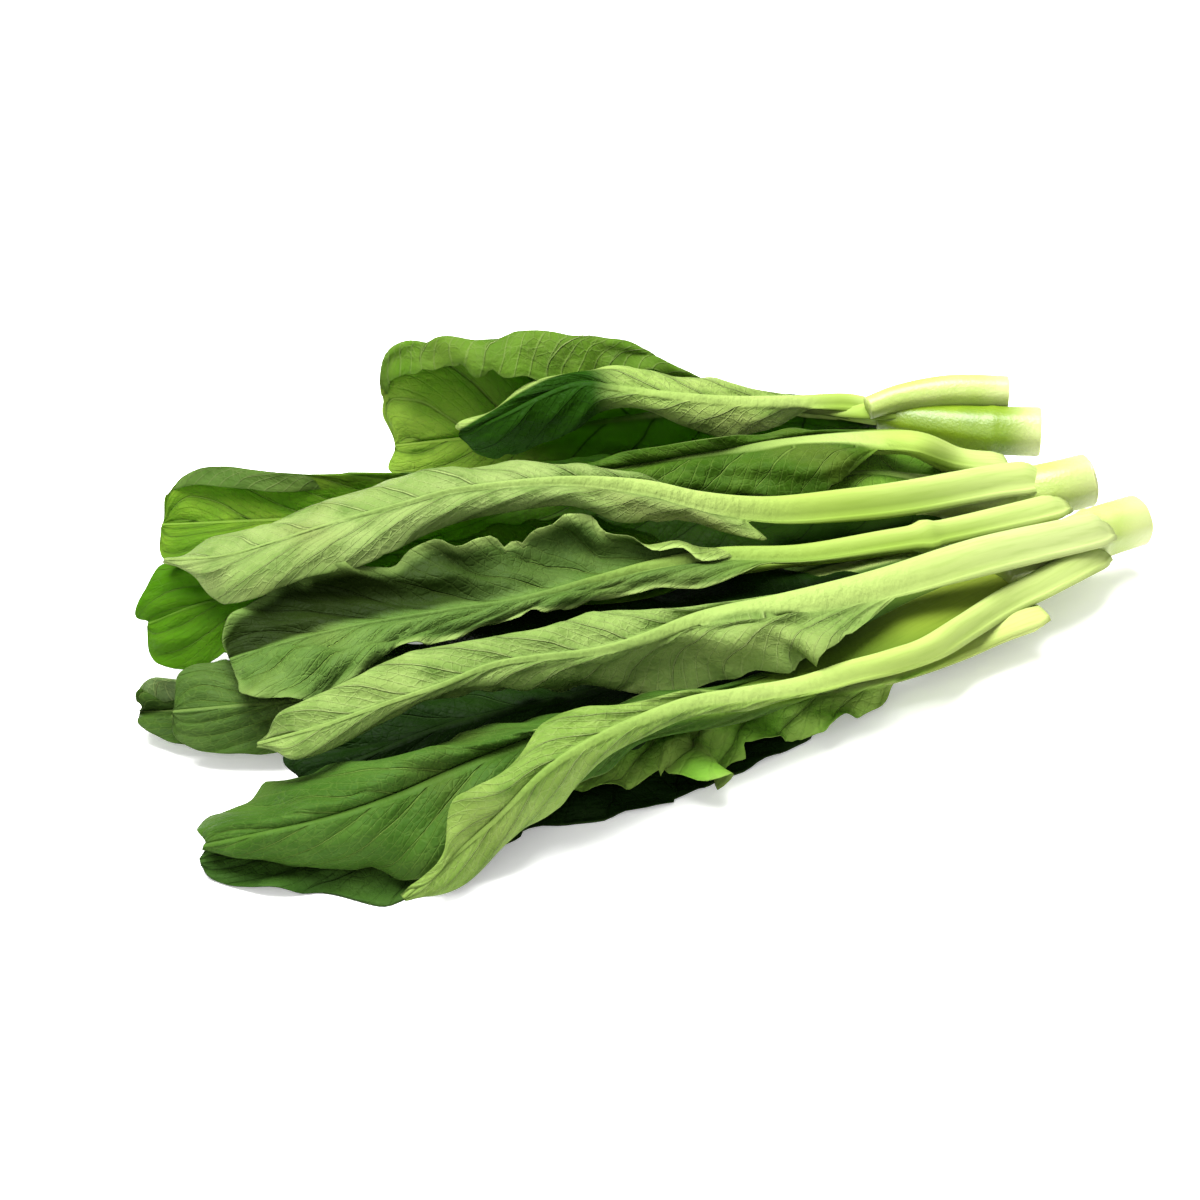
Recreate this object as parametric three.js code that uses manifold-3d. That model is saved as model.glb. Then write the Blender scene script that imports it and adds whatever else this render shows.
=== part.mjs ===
// A bunch of choy sum lying on a flat surface: three plants with their cut stem ends together at +X,
// and their leaves fanned out towards -X, piled one over another.
// Every leaf is a petiole and a thin blade in one piece. Millimetres, +Z up.
import * as THREE from "three";
import { mergeVertices } from "three/addons/utils/BufferGeometryUtils.js";
import Module from "manifold-3d";

// Driving dimensions
const BLADE = 0.8; // thickness of a leaf blade
const PETIOLE_RIM = 2.6; // thickness of a petiole at its two edges
const RIB_MARGIN = 1; // blade left beside the rib where the leaf has no blade
const RIB_CROWN = 0.25; // share of the rib's depth that stands out on the other face
const FIT = 0.3; // gap left where one piece touches another
const PILE_GAP = 1.2; // height of a leaf over the leaves under it
const BUNCH_TURN = -20; // degrees about Z from the frame of the view below to the bunch's own
const STEM_SIDES = 12;
const STEM_RINGS = 5;
const LEAF_ROWS = 16; // rows of facets from a leaf's base to its tip
const BLADE_COLUMNS = 3; // columns of facets in each half of a blade
const RIB_COLUMNS = 2; // columns of facets in each half of the rib
const ROW_CROWDING = 1.3; // above 1, a leaf's rows lie closer together near its tip
const TANGENT_STEP = 0.001; // share of a midrib on each side of a point that gives its direction
const BLADE_GROWS = 0.2; // share of a blade's length over which its fold and waves grow
const BLADE_FADES = 0.06; // share of it at the tip over which they fade
const WAVE_OFFSET = 0.27; // part of a wave by which each edge is ahead of the rib or behind it
const THINNING = [0.5, 1.1]; // where a petiole's edges thin to the blade's, in shares of bladeFrom
const LIFTING = [0.3, 0.9]; // where a petiole takes on its leaf's lift, in shares of bladeFrom
const ROUGHNESS = 0.55; // of stems and leaves alike

// The view that the tables below are set out in: the bunch from its front, in a square picture
const VIEW_MIDDLE = 600; // steps of the picture from its left and upper edges to its middle
const VIEW_SCALE = 3.2; // steps to a millimetre at the point that the view aims at
const VIEW_DISTANCE = 1000; // from the eye to that point
const VIEW_TILT = 33; // degrees by which the eye looks down
const VIEW_AIM = new THREE.Vector3(0, 0, 25);

// Usual leaf, from base to tip, where a leaf below doesn't give its own
const RIB_DEPTH = [6, 5.5, 3.2, 1.4, 0.6, 0.3];
const RIB_HALF_WIDTH = [6.5, 5.8, 3.6, 1.8, 1, 0.6];
const EDGE_WAVE = { height: 1.2, count: 4 };

// The pile is felt out on a square grid of cells
const PILE = { cell: 2, west: -175, south: -160, columns: 190, rows: 170 };
const PILE_LEAF = { rows: 44, blade: 8, rib: 2 };
const PILE_STEPS = 3; // points between two neighbouring points of a leaf, each way
const LIFT_REACH = 4; // cells over which a lift spreads
const LIFT_SOFTEN = 2; // cells over which it is evened out
const LIFT_ROUNDS = 3; // a lifted leaf also moves towards the eye, so its lift is found again there

// Each point of a stem's or leaf's lines is [right, down, height]: its place in the view, and its height
// above the surface in millimetres

// Stems, from the cut end inwards
const STEMS = [
  {
    name: "front_stem",
    colour: 0xdcee9c,
    path: [[1138, 520, 18], [1100, 532, 18], [1050, 552, 17], [1000, 572, 17]],
    radius: [8.6, 8.6, 8, 5],
  },
  {
    name: "middle_stem",
    colour: 0xd8ec98,
    path: [[1088, 480, 20], [1050, 489, 19], [1000, 497, 14], [915, 512, 9]],
    radius: [9, 8.6, 6, 4.5],
  },
  {
    name: "rear_stem",
    colour: 0xbcdc6c,
    path: [[1040, 432, 20], [985, 430, 20], [930, 424, 20], [880, 416, 20]],
    radius: [8.5, 8.2, 7, 5],
  },
  {
    name: "rear_cut_stalk",
    colour: 0xcce486,
    path: [[1008, 392, 30], [950, 391, 30], [900, 398, 28], [868, 408, 26]],
    radius: [5.5, 5.6, 5, 4],
  },
];

// Leaves, from the bottom of the pile to its top. A midrib runs from the petiole's base to the tip, and an
// edge from where the blade begins to the tip. A fold is a line halfway across a half of the blade, and a
// bulge lifts that line when it has no points of its own. The pale ribbed side is a leaf's underside.
// A leaf that isn't laid lies in another's roll or in its shelter, and stays at its own height. A rib's crown
// is the share of its depth that stands out on the leaf's other face.
const LEAVES = [
  {
    name: "front_floor_leaf",
    colour: 0x4f7f33,
    midrib: [[975, 605, 4], [875, 640, 4], [760, 682, 4], [600, 765, 4], [450, 800, 4],
      [320, 840, 4], [200, 862, 3]],
    nearEdge: [[820, 728, 1], [700, 790, 1], [600, 820, 1], [530, 833, 1], [455, 878, 1],
      [395, 903, 1], [330, 892, 1], [270, 894, 1], [215, 880, 1]],
    farEdge: [[780, 690, 5], [640, 700, 6], [480, 730, 6], [330, 780, 5], [230, 825, 3]],
    bladeFrom: 0.36,
    paleSideUp: false,
  },
  {
    name: "rear_rolled_leaf",
    colour: 0x6a9e2c,
    midrib: [[960, 402, 24], [900, 407, 23], [860, 408, 22], [801, 405, 22], [747, 405, 21],
      [690, 410, 20], [600, 422, 18], [500, 434, 15], [395, 446, 12]],
    nearEdge: [[890, 428, 16], [840, 438, 12], [760, 462, 5], [640, 487, 2], [520, 500, 1],
      [430, 490, 2], [390, 472, 8]],
    farEdge: [[720, 388, 30], [640, 372, 38], [545, 384, 42], [490, 378, 43], [455, 363, 45],
      [412, 378, 40], [384, 395, 27]],
    farFold: [[740, 392, 28], [690, 372, 36], [620, 345, 46], [560, 338, 50], [480, 340, 50],
      [408, 348, 45], [386, 392, 30]],
    bladeFrom: 0.22,
    paleSideUp: false,
  },
  {
    name: "left_curled_leaf",
    colour: 0x5b8a3c,
    midrib: [[1000, 570, 6], [905, 590, 7], [785, 618, 8], [640, 640, 11], [480, 670, 13],
      [360, 690, 13], [250, 702, 11], [190, 710, 7], [140, 712, 6]],
    nearEdge: [[600, 690, 8], [450, 708, 8], [320, 718, 8], [220, 742, 4], [180, 744, 4],
      [152, 734, 6], [138, 722, 8]],
    farEdge: [[600, 610, 14], [450, 640, 18], [320, 660, 18], [220, 694, 13], [180, 698, 11],
      [158, 704, 9], [140, 710, 8]],
    farFold: [[600, 625, 14], [450, 650, 17], [320, 668, 19], [220, 684, 18], [175, 681, 17],
      [150, 680, 16], [134, 698, 13]],
    bladeFrom: 0.42,
    ribDepth: [3, 3, 2.4, 1.2, 0.6, 0.3],
    ribHalfWidth: [4.5, 4.5, 3.4, 1.8, 1, 0.6],
    paleSideUp: false,
  },
  {
    name: "middle_floor_leaf",
    colour: 0x55853a,
    midrib: [[985, 525, 6], [900, 555, 8], [785, 585, 10], [660, 620, 14], [480, 670, 18],
      [380, 690, 19], [280, 702, 19], [215, 708, 18], [173, 712, 16]],
    nearEdge: [[920, 590, 6], [840, 622, 8], [740, 655, 10], [620, 700, 11], [450, 730, 10],
      [330, 748, 8], [262, 752, 7], [205, 752, 7], [176, 738, 10]],
    farEdge: [[900, 530, 7], [800, 555, 9], [620, 610, 15], [450, 650, 22], [330, 662, 24],
      [240, 658, 23], [205, 659, 22], [180, 676, 20]],
    bladeFrom: 0.12,
    ribDepth: [3, 3, 2.4, 1.2, 0.6, 0.3],
    ribHalfWidth: [4.5, 4.5, 3.4, 1.8, 1, 0.6],
    paleSideUp: false,
  },
  {
    name: "front_crinkled_leaf",
    colour: 0x6fa046,
    midrib: [[1043, 613, 14], [1000, 628, 13], [960, 645, 12], [890, 673, 10], [800, 697, 9],
      [700, 720, 9], [620, 750, 9], [560, 783, 7]],
    nearEdge: [[893, 684, 6], [872, 714, 3], [835, 722, 8], [800, 737, 2], [755, 746, 9],
      [722, 772, 3], [702, 780, 9], [665, 774, 4], [625, 782, 7], [580, 790, 3]],
    farEdge: [[860, 665, 12], [780, 680, 14], [700, 700, 14], [620, 730, 13]],
    bladeFrom: 0.33,
    ribDepth: [4, 4, 3, 1.4, 0.6, 0.3],
    ribHalfWidth: [4.5, 5, 3.6, 1.8, 1, 0.6],
    wave: { height: 3.2, count: 6 },
    paleSideUp: false,
  },
  {
    name: "front_shaded_leaf",
    colour: 0x2f5a22,
    midrib: [[985, 567, 12], [875, 610, 14], [760, 645, 16], [640, 680, 18], [560, 700, 19],
      [450, 725, 19], [370, 755, 16], [300, 782, 9]],
    nearEdge: [[860, 645, 14], [760, 680, 14], [640, 740, 14], [520, 770, 9], [420, 790, 6],
      [335, 796, 6]],
    farEdge: [[880, 572, 15], [780, 572, 15], [640, 578, 17], [560, 588, 19], [480, 610, 21],
      [380, 680, 22], [288, 750, 14]],
    bladeFrom: 0.2,
    ribDepth: [3, 3, 2.4, 1.2, 0.6, 0.3],
    ribHalfWidth: [4.5, 4.5, 3.4, 1.8, 1, 0.6],
    paleSideUp: false,
  },
  {
    name: "rear_left_leaf",
    colour: 0x6f9c2e,
    midrib: [[985, 470, 8], [860, 490, 8], [750, 510, 9], [650, 485, 20], [540, 495, 23],
      [450, 502, 26], [385, 508, 28], [300, 518, 29], [230, 522, 29], [162, 525, 26]],
    nearEdge: [[945, 534, 8], [900, 542, 8], [800, 556, 8], [700, 562, 8], [600, 560, 10], [500, 550, 14],
      [380, 550, 20], [280, 555, 24], [210, 565, 22], [163, 557, 22]],
    farEdge: [[900, 465, 10], [800, 460, 10], [700, 455, 14], [580, 458, 22], [460, 478, 32],
      [360, 486, 36], [280, 492, 38], [225, 488, 39], [172, 490, 36]],
    nearBulge: 2,
    farFold: [[900, 478, 9], [800, 475, 10], [700, 468, 17], [580, 466, 25], [460, 472, 34],
      [380, 475, 39], [280, 475, 42], [205, 470, 41], [166, 500, 33]],
    bladeFrom: 0.08,
    ribDepth: [3, 3, 2.4, 1.2, 0.6, 0.3],
    ribHalfWidth: [4.5, 4.5, 3.4, 1.8, 1, 0.6],
    paleSideUp: false,
  },
  {
    name: "rear_folded_leaf",
    colour: 0x9cc266,
    midrib: [[905, 420, 17], [865, 408, 21], [830, 403, 24], [740, 402, 31], [680, 397, 37],
      [620, 389, 41], [580, 384, 42], [540, 398, 38], [500, 418, 32], [460, 434, 24]],
    nearEdge: [[800, 414, 21], [760, 431, 21], [725, 439, 22], [690, 425, 27], [640, 412, 33],
      [600, 410, 34], [570, 432, 26], [520, 452, 18], [480, 454, 16]],
    farEdge: [[790, 395, 26], [700, 380, 34], [620, 368, 42], [565, 373, 43], [520, 391, 39],
      [490, 408, 34], [458, 424, 28]],
    nearBulge: 2,
    farBulge: 2,
    bladeFrom: 0.22,
    ribDepth: [3, 2, 0.8, 0.4],
    ribHalfWidth: [4, 3, 1.4, 0.7],
    paleSideUp: true,
    laid: false,
  },
  {
    name: "front_spread_leaf",
    colour: 0x6d9a4c,
    midrib: [[1095, 553, 12], [1010, 582, 13], [950, 610, 13], [895, 638, 14], [800, 682, 18],
      [700, 708, 24], [610, 724, 27], [540, 739, 28], [470, 765, 27], [400, 795, 25],
      [330, 818, 22], [265, 833, 17], [204, 846, 9]],
    nearEdge: [[660, 735, 21], [600, 770, 19], [545, 806, 15], [480, 850, 10], [425, 877, 6], [345, 872, 5],
      [270, 857, 7], [225, 855, 7]],
    farEdge: [[690, 690, 24], [600, 706, 22], [500, 728, 21], [400, 758, 18], [297, 780, 13],
      [240, 798, 11], [198, 822, 8]],
    nearBulge: 3,
    farFold: [[690, 697, 27], [610, 712, 30], [540, 727, 32], [440, 748, 32], [380, 770, 30],
      [325, 793, 26], [265, 814, 19], [215, 832, 12]],
    bladeFrom: 0.38,
    ribDepth: [3, 4, 3, 1.6, 0.8, 0.4],
    ribHalfWidth: [3.5, 10, 8, 3, 1.4, 0.7],
    paleSideUp: false,
  },
  {
    name: "front_side_leaf",
    colour: 0xa3c66c,
    midrib: [[1098, 554, 15], [1068, 570, 18], [1035, 588, 17], [1000, 606, 15], [962, 630, 15],
      [930, 649, 17], [890, 663, 19], [850, 673, 21], [800, 687, 25], [740, 696, 30],
      [680, 706, 34], [600, 738, 36], [545, 772, 33], [490, 825, 20], [403, 898, 5]],
    nearEdge: [[720, 713, 29], [660, 722, 32], [600, 766, 28], [545, 813, 17], [490, 862, 8],
      [440, 893, 4]],
    farEdge: [[760, 684, 30], [680, 696, 34], [600, 707, 37], [540, 727, 37], [500, 775, 32],
      [453, 802, 27], [441, 855, 15], [424, 876, 10]],
    nearBulge: 2,
    farBulge: 2,
    bladeFrom: 0.48,
    ribDepth: [4, 4, 3.4, 2, 0.9, 0.4],
    ribHalfWidth: [6, 4.6, 4.6, 3, 1.2, 0.6],
    paleSideUp: true,
  },
  {
    name: "middle_tip_leaf",
    colour: 0x6ea22c,
    midrib: [[1040, 500, 12], [1000, 516, 11], [905, 541, 12], [785, 558, 14], [640, 580, 21],
      [540, 580, 26], [450, 580, 28], [300, 590, 30], [210, 602, 28], [148, 624, 19]],
    nearEdge: [[640, 600, 20], [500, 610, 22], [350, 620, 22], [270, 635, 21], [222, 658, 15],
      [180, 669, 10], [150, 656, 11]],
    farEdge: [[620, 520, 28], [450, 535, 32], [300, 560, 36], [220, 562, 38], [165, 561, 36],
      [146, 590, 28], [136, 615, 20]],
    nearBulge: 2,
    farBulge: 2,
    bladeFrom: 0.42,
    ribDepth: [3, 3, 2.4, 1.4, 0.6, 0.3],
    ribHalfWidth: [4, 4, 3, 1.8, 1, 0.6],
    paleSideUp: false,
  },
  {
    name: "middle_cupped_leaf",
    colour: 0x557f38,
    midrib: [[1062, 505, 21], [1000, 520, 25], [937, 534, 27], [880, 543, 28], [800, 554, 28],
      [720, 555, 28], [655, 566, 29], [600, 580, 29], [520, 601, 29], [440, 613, 30],
      [360, 626, 30], [295, 641, 29], [230, 660, 26]],
    nearEdge: [[712, 585, 26], [660, 590, 27], [600, 601, 27], [540, 614, 28], [470, 634, 28],
      [400, 650, 29], [350, 676, 29], [300, 703, 28], [262, 701, 27], [238, 682, 26]],
    farEdge: [[705, 562, 30], [682, 549, 34], [655, 549, 35], [632, 533, 40], [600, 532, 40],
      [572, 513, 45], [540, 528, 42], [500, 532, 44], [470, 547, 42], [440, 543, 44],
      [400, 560, 41], [330, 566, 41], [250, 598, 37], [229, 618, 33], [221, 640, 29]],
    nearBulge: 3,
    farBulge: -4,
    bladeFrom: 0.38,
    ribDepth: [3.2, 3, 2.4, 1.6, 0.8, 0.4],
    ribHalfWidth: [5.6, 4.6, 3.6, 1.8, 0.9, 0.6],
    ribCrown: 1,
    paleSideUp: false,
  },
  {
    name: "middle_young_leaf",
    colour: 0x8fbb4e,
    midrib: [[960, 482, 17], [920, 478, 18], [880, 473, 19], [850, 474, 20], [808, 484, 20]],
    nearEdge: [[935, 492, 16], [890, 493, 17], [850, 494, 18], [820, 491, 19]],
    farEdge: [[945, 458, 19], [890, 451, 20], [850, 454, 21], [820, 466, 21]],
    laid: false,
    nearBulge: 1,
    farBulge: 1,
    bladeFrom: 0.06,
    ribDepth: [2, 1.5, 0.8, 0.4],
    ribHalfWidth: [2.5, 2, 1.2, 0.6],
    paleSideUp: false,
  },
  {
    name: "middle_back_leaf",
    colour: 0x5f8a35,
    midrib: [[1005, 463, 18], [960, 459, 21], [915, 443, 26], [860, 440, 28], [780, 444, 28],
      [700, 455, 27], [620, 469, 26], [560, 484, 22]],
    nearEdge: [[820, 492, 17], [770, 497, 17], [720, 498, 18], [660, 494, 20], [600, 494, 20]],
    farEdge: [[780, 432, 30], [720, 437, 33], [640, 450, 32], [580, 463, 27]],
    nearBulge: 3,
    farBulge: 2,
    bladeFrom: 0.3,
    ribDepth: [5, 5, 3.4, 1.4, 0.6],
    ribHalfWidth: [5, 6, 3.6, 1.6, 0.8],
    paleSideUp: false,
  },
  {
    name: "middle_top_leaf",
    colour: 0xb6d184,
    midrib: [[1045, 480, 22], [1000, 484, 22], [950, 493, 22], [900, 502, 22], [850, 508, 23],
      [770, 513, 27], [700, 505, 36], [640, 490, 45], [560, 483, 52], [460, 491, 54],
      [400, 506, 52], [340, 522, 49], [280, 541, 45], [222, 557, 40], [165, 560, 34]],
    nearEdge: [[766, 541, 26], [700, 524, 34], [620, 522, 42], [560, 502, 48], [480, 520, 46],
      [420, 537, 44], [380, 556, 42], [300, 582, 38], [230, 602, 33], [192, 574, 33]],
    farEdge: [[660, 495, 32], [560, 488, 32], [445, 490, 32], [370, 512, 32], [300, 535, 30],
      [225, 560, 27]],
    nearBulge: 3,
    farFold: [[660, 479, 44], [560, 467, 50], [450, 466, 52], [400, 481, 50], [340, 499, 46],
      [280, 518, 42], [225, 536, 37], [188, 553, 33]],
    bladeFrom: 0.36,
    ribDepth: [6, 6, 4.5, 1.8, 0.8, 0.4],
    ribHalfWidth: [6.5, 6.5, 5, 1.7, 0.8, 0.6],
    paleSideUp: true,
  },
  {
    name: "front_top_leaf",
    colour: 0xb2cf80,
    midrib: [[1105, 531, 22], [1060, 541, 25], [980, 559, 28], [880, 586, 31], [780, 607, 34],
      [700, 621, 37], [640, 641, 39], [590, 653, 41], [500, 664, 43], [440, 686, 42],
      [380, 706, 40], [320, 727, 36], [258, 744, 28]],
    nearEdge: [[832, 652, 28], [818, 668, 24], [800, 657, 24], [785, 673, 21], [740, 678, 19],
      [680, 690, 18], [600, 692, 19], [520, 688, 24], [450, 693, 29], [380, 720, 31],
      [300, 752, 27]],
    nearFold: [[860, 614, 29], [820, 622, 32], [760, 631, 33], [700, 640, 34], [640, 657, 33],
      [600, 673, 34], [520, 681, 36], [450, 691, 37], [380, 722, 35], [300, 757, 29]],
    farEdge: [[800, 598, 28], [680, 620, 31], [600, 635, 33], [530, 650, 35], [440, 668, 37],
      [380, 685, 37], [300, 715, 34]],
    farFold: [[800, 590, 33], [700, 607, 39], [600, 613, 44], [525, 632, 46], [440, 648, 47],
      [380, 666, 46], [320, 694, 42], [270, 720, 35]],
    bladeFrom: 0.3,
    ribDepth: [6, 6, 4, 1.8, 0.8, 0.4],
    ribHalfWidth: [6.5, 7.5, 5.6, 2, 0.9, 0.6],
    paleSideUp: true,
  },
];

const { smoothstep } = THREE.MathUtils;

// The eye's place, and its forward and upward directions
function viewAxes() {
  const tilt = THREE.MathUtils.degToRad(VIEW_TILT);
  const forwards = new THREE.Vector3(0, Math.cos(tilt), -Math.sin(tilt));
  const upwards = new THREE.Vector3(0, Math.sin(tilt), Math.cos(tilt));
  return { eye: moved(VIEW_AIM, forwards, -VIEW_DISTANCE), forwards, upwards };
}

// The point at a height that lies on the eye's ray through a place in the view
function seenAt([right, down, height]) {
  const { eye, forwards, upwards } = viewAxes();
  const ray = forwards.clone().multiplyScalar(VIEW_SCALE * VIEW_DISTANCE);
  ray.addScaledVector(new THREE.Vector3(1, 0, 0), right - VIEW_MIDDLE);
  ray.addScaledVector(upwards, VIEW_MIDDLE - down);
  return moved(eye, ray, (height - eye.z) / ray.z);
}

// A stem or leaf of the tables with its lines in millimetres
function placed(piece) {
  const lines = ["path", "midrib", "nearEdge", "farEdge", "nearFold", "farFold"];
  const given = lines.filter((name) => piece[name]);
  return { ...piece, ...Object.fromEntries(given.map((name) => [name, piece[name].map(seenAt)])) };
}

function lineThrough(points) {
  return new THREE.CatmullRomCurve3(points, false, "catmullrom");
}

// The value at t of a list of values spread evenly from 0 to 1
function valueAt(list, t) {
  return new THREE.SplineCurve(list.map((value, i) => new THREE.Vector2(i, value))).getPoint(t).y;
}

function crossed(a, b) {
  return new THREE.Vector3().crossVectors(a, b).normalize();
}

function between(a, b, t) {
  return new THREE.Vector3().lerpVectors(a, b, t);
}

function moved(point, direction, distance) {
  return point.clone().addScaledVector(direction, distance);
}

// Rows from the base (0) to the tip (1), closer together near the tip
function rowPlaces(rows) {
  return Array.from({ length: rows + 1 }, (_, i) => 1 - (1 - i / rows) ** ROW_CROWDING);
}

// Columns across a leaf: across goes from -1 to 1 over the rib, and out is the share of the blade beyond it
function columnPlaces(blade, rib) {
  const columns = [];
  for (let i = blade; i > 0; i--) columns.push({ side: -1, across: -1, out: i / blade });
  for (let i = -rib; i <= rib; i++) columns.push({ side: Math.sign(i), across: i / rib, out: 0 });
  for (let i = 1; i <= blade; i++) columns.push({ side: 1, across: 1, out: i / blade });
  return columns;
}

// The midrib's place, direction and sideways direction in each row
function midribRows(leaf, places) {
  const line = lineThrough(leaf.midrib);
  return places.map((u) => {
    const ahead = line.getPointAt(Math.min(1, u + TANGENT_STEP));
    const behind = line.getPointAt(Math.max(0, u - TANGENT_STEP));
    const along = ahead.sub(behind).normalize();
    const sideways = crossed(along, new THREE.Vector3(0, 0, 1));
    return {
      point: line.getPointAt(u),
      along,
      sideways,
      halfWidth: valueAt(leaf.ribHalfWidth ?? RIB_HALF_WIDTH, u),
      depth: valueAt(leaf.ribDepth ?? RIB_DEPTH, u),
      blade: Math.max(0, (u - leaf.bladeFrom) / (1 - leaf.bladeFrom)),
    };
  });
}

// One half of the blade, row by row: from the rib's side, over a fold halfway out, to the edge.
// The fold follows its own line, or else lies halfway and bulges up by so many millimetres.
function halfRows(leaf, rows, side) {
  const near = side < 0;
  const edge = near ? leaf.nearEdge : leaf.farEdge;
  const fold = near ? leaf.nearFold : leaf.farFold;
  const bulge = (near ? leaf.nearBulge : leaf.farBulge) ?? 0;
  const beside = (row) => moved(row.point, row.sideways, side * (row.halfWidth + RIB_MARGIN));
  const first = beside(rows.find((row) => row.blade > 0));
  const last = beside(rows.at(-1));
  const edgeLine = lineThrough([first, ...edge, last]);
  const foldLine = fold && lineThrough([first, ...fold, last]);
  return rows.map((row) => {
    const root = moved(row.point, row.sideways, side * row.halfWidth);
    const grown = smoothstep(row.blade, 0, BLADE_GROWS) * smoothstep(1 - row.blade, 0, BLADE_FADES);
    const rim = row.blade > 0 ? edgeLine.getPointAt(row.blade) : beside(row);
    const halfway = between(root, rim, 0.5);
    if (foldLine) {
      const bend = between(halfway, foldLine.getPointAt(row.blade), grown);
      return { root, rim, grown, bend };
    }
    const upwards = crossed(rim.clone().sub(root), row.along).multiplyScalar(side);
    return { root, rim, grown, bend: moved(halfway, upwards, bulge * grown) };
  });
}

// The smooth line root, bend, rim at a share of the way out
function acrossBlade({ root, bend, rim }, out) {
  return new THREE.Vector3()
    .addScaledVector(root, (1 - out) * (1 - 2 * out))
    .addScaledVector(bend, 4 * out * (1 - out))
    .addScaledVector(rim, out * (2 * out - 1));
}

// Directions square to a grid of points
function gridNormals(points) {
  const rows = points.length;
  const columns = points[0].length;
  return points.map((line, i) =>
    line.map((_, j) => {
      const along = points[Math.min(rows - 1, i + 1)][j].clone().sub(points[Math.max(0, i - 1)][j]);
      const over = line[Math.min(columns - 1, j + 1)].clone().sub(line[Math.max(0, j - 1)]);
      return crossed(over, along);
    }),
  );
}

// How far a change that goes on between two shares of the petiole has come at a place
function shareAlong(leaf, place, [from, to]) {
  return smoothstep(place, from * leaf.bladeFrom, to * leaf.bladeFrom);
}

// A leaf's middle surface with its normals and its thickness above and below
function leafSheet(leaf, { rows, blade, rib }) {
  const places = rowPlaces(rows);
  const columns = columnPlaces(blade, rib);
  const midrib = midribRows(leaf, places);
  const halves = { [-1]: halfRows(leaf, midrib, -1), 1: halfRows(leaf, midrib, 1) };
  const wave = leaf.wave ?? EDGE_WAVE;
  const points = midrib.map((row, i) =>
    columns.map(({ side, across, out }) =>
      out > 0
        ? acrossBlade(halves[side][i], out)
        : moved(row.point, row.sideways, across * row.halfWidth),
    ),
  );
  const smooth = gridNormals(points);
  points.forEach((line, i) =>
    line.forEach((point, j) => {
      const { side, out } = columns[j];
      if (out === 0) return;
      const turn = 2 * Math.PI * (wave.count * midrib[i].blade + WAVE_OFFSET * side);
      const height = wave.height * halves[side][i].grown * out * out * Math.sin(turn);
      point.addScaledVector(smooth[i][j], height);
    }),
  );
  const thickness = midrib.map((row, i) =>
    columns.map(({ across }) => {
      const rim = THREE.MathUtils.lerp(PETIOLE_RIM, BLADE, shareAlong(leaf, places[i], THINNING));
      const round = Math.sqrt(Math.max(0, 1 - across * across));
      const deep = rim / 2 + row.depth * round;
      const flat = rim / 2 + (leaf.ribCrown ?? RIB_CROWN) * row.depth * round;
      return leaf.paleSideUp ? { above: deep, below: flat } : { above: flat, below: deep };
    }),
  );
  return { points, normals: gridNormals(points), thickness, places };
}

// A field of numbers over the floor, one for each cell of the pile's grid
function newField(value) {
  return new Float32Array(PILE.columns * PILE.rows).fill(value);
}

function cellOf(point) {
  const column = THREE.MathUtils.clamp(Math.floor((point.x - PILE.west) / PILE.cell), 0, PILE.columns - 1);
  const row = THREE.MathUtils.clamp(Math.floor((point.y - PILE.south) / PILE.cell), 0, PILE.rows - 1);
  return column * PILE.rows + row;
}

// The lowest and highest places of a leaf in each cell
function leafHeights({ points, normals, thickness }) {
  const low = newField(Infinity);
  const high = newField(-Infinity);
  const faces = [
    points.map((line, i) => line.map((p, j) => moved(p, normals[i][j], thickness[i][j].above))),
    points.map((line, i) => line.map((p, j) => moved(p, normals[i][j], -thickness[i][j].below))),
  ];
  for (const face of faces) {
    for (let i = 0; i < (face.length - 1) * PILE_STEPS; i++) {
      for (let j = 0; j < (face[0].length - 1) * PILE_STEPS; j++) {
        const [row, column] = [Math.floor(i / PILE_STEPS), Math.floor(j / PILE_STEPS)];
        const [down, over] = [(i % PILE_STEPS) / PILE_STEPS, (j % PILE_STEPS) / PILE_STEPS];
        const start = between(face[row][column], face[row][column + 1], over);
        const end = between(face[row + 1][column], face[row + 1][column + 1], over);
        const point = between(start, end, down);
        const cell = cellOf(point);
        low[cell] = Math.min(low[cell], point.z);
        high[cell] = Math.max(high[cell], point.z);
      }
    }
  }
  return { low, high };
}

// Each cell of a field combined with its neighbours as far as reach, first in columns, then in rows
function overNeighbours(field, reach, combine) {
  const pass = (source, step, length) =>
    source.map((_, cell) => {
      const place = step === 1 ? cell % PILE.rows : Math.floor(cell / PILE.rows);
      const values = [];
      for (let k = -reach; k <= reach; k++) {
        values.push(source[cell + step * (THREE.MathUtils.clamp(place + k, 0, length - 1) - place)]);
      }
      return combine(values);
    });
  return pass(pass(field, PILE.rows, PILE.columns), 1, PILE.rows);
}

function mean(values) {
  return values.reduce((sum, value) => sum + value, 0) / values.length;
}

function highest(values) {
  return Math.max(...values);
}

// A field's value at a place, evened between the middles of the four cells round it
function fieldAt(field, point) {
  const x = THREE.MathUtils.clamp((point.x - PILE.west) / PILE.cell - 0.5, 0, PILE.columns - 2);
  const y = THREE.MathUtils.clamp((point.y - PILE.south) / PILE.cell - 0.5, 0, PILE.rows - 2);
  const [i, j] = [Math.floor(x), Math.floor(y)];
  const cell = i * PILE.rows + j;
  const lerp = THREE.MathUtils.lerp;
  const left = lerp(field[cell], field[cell + 1], y - j);
  const right = lerp(field[cell + PILE.rows], field[cell + PILE.rows + 1], y - j);
  return lerp(left, right, x - i);
}

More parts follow.
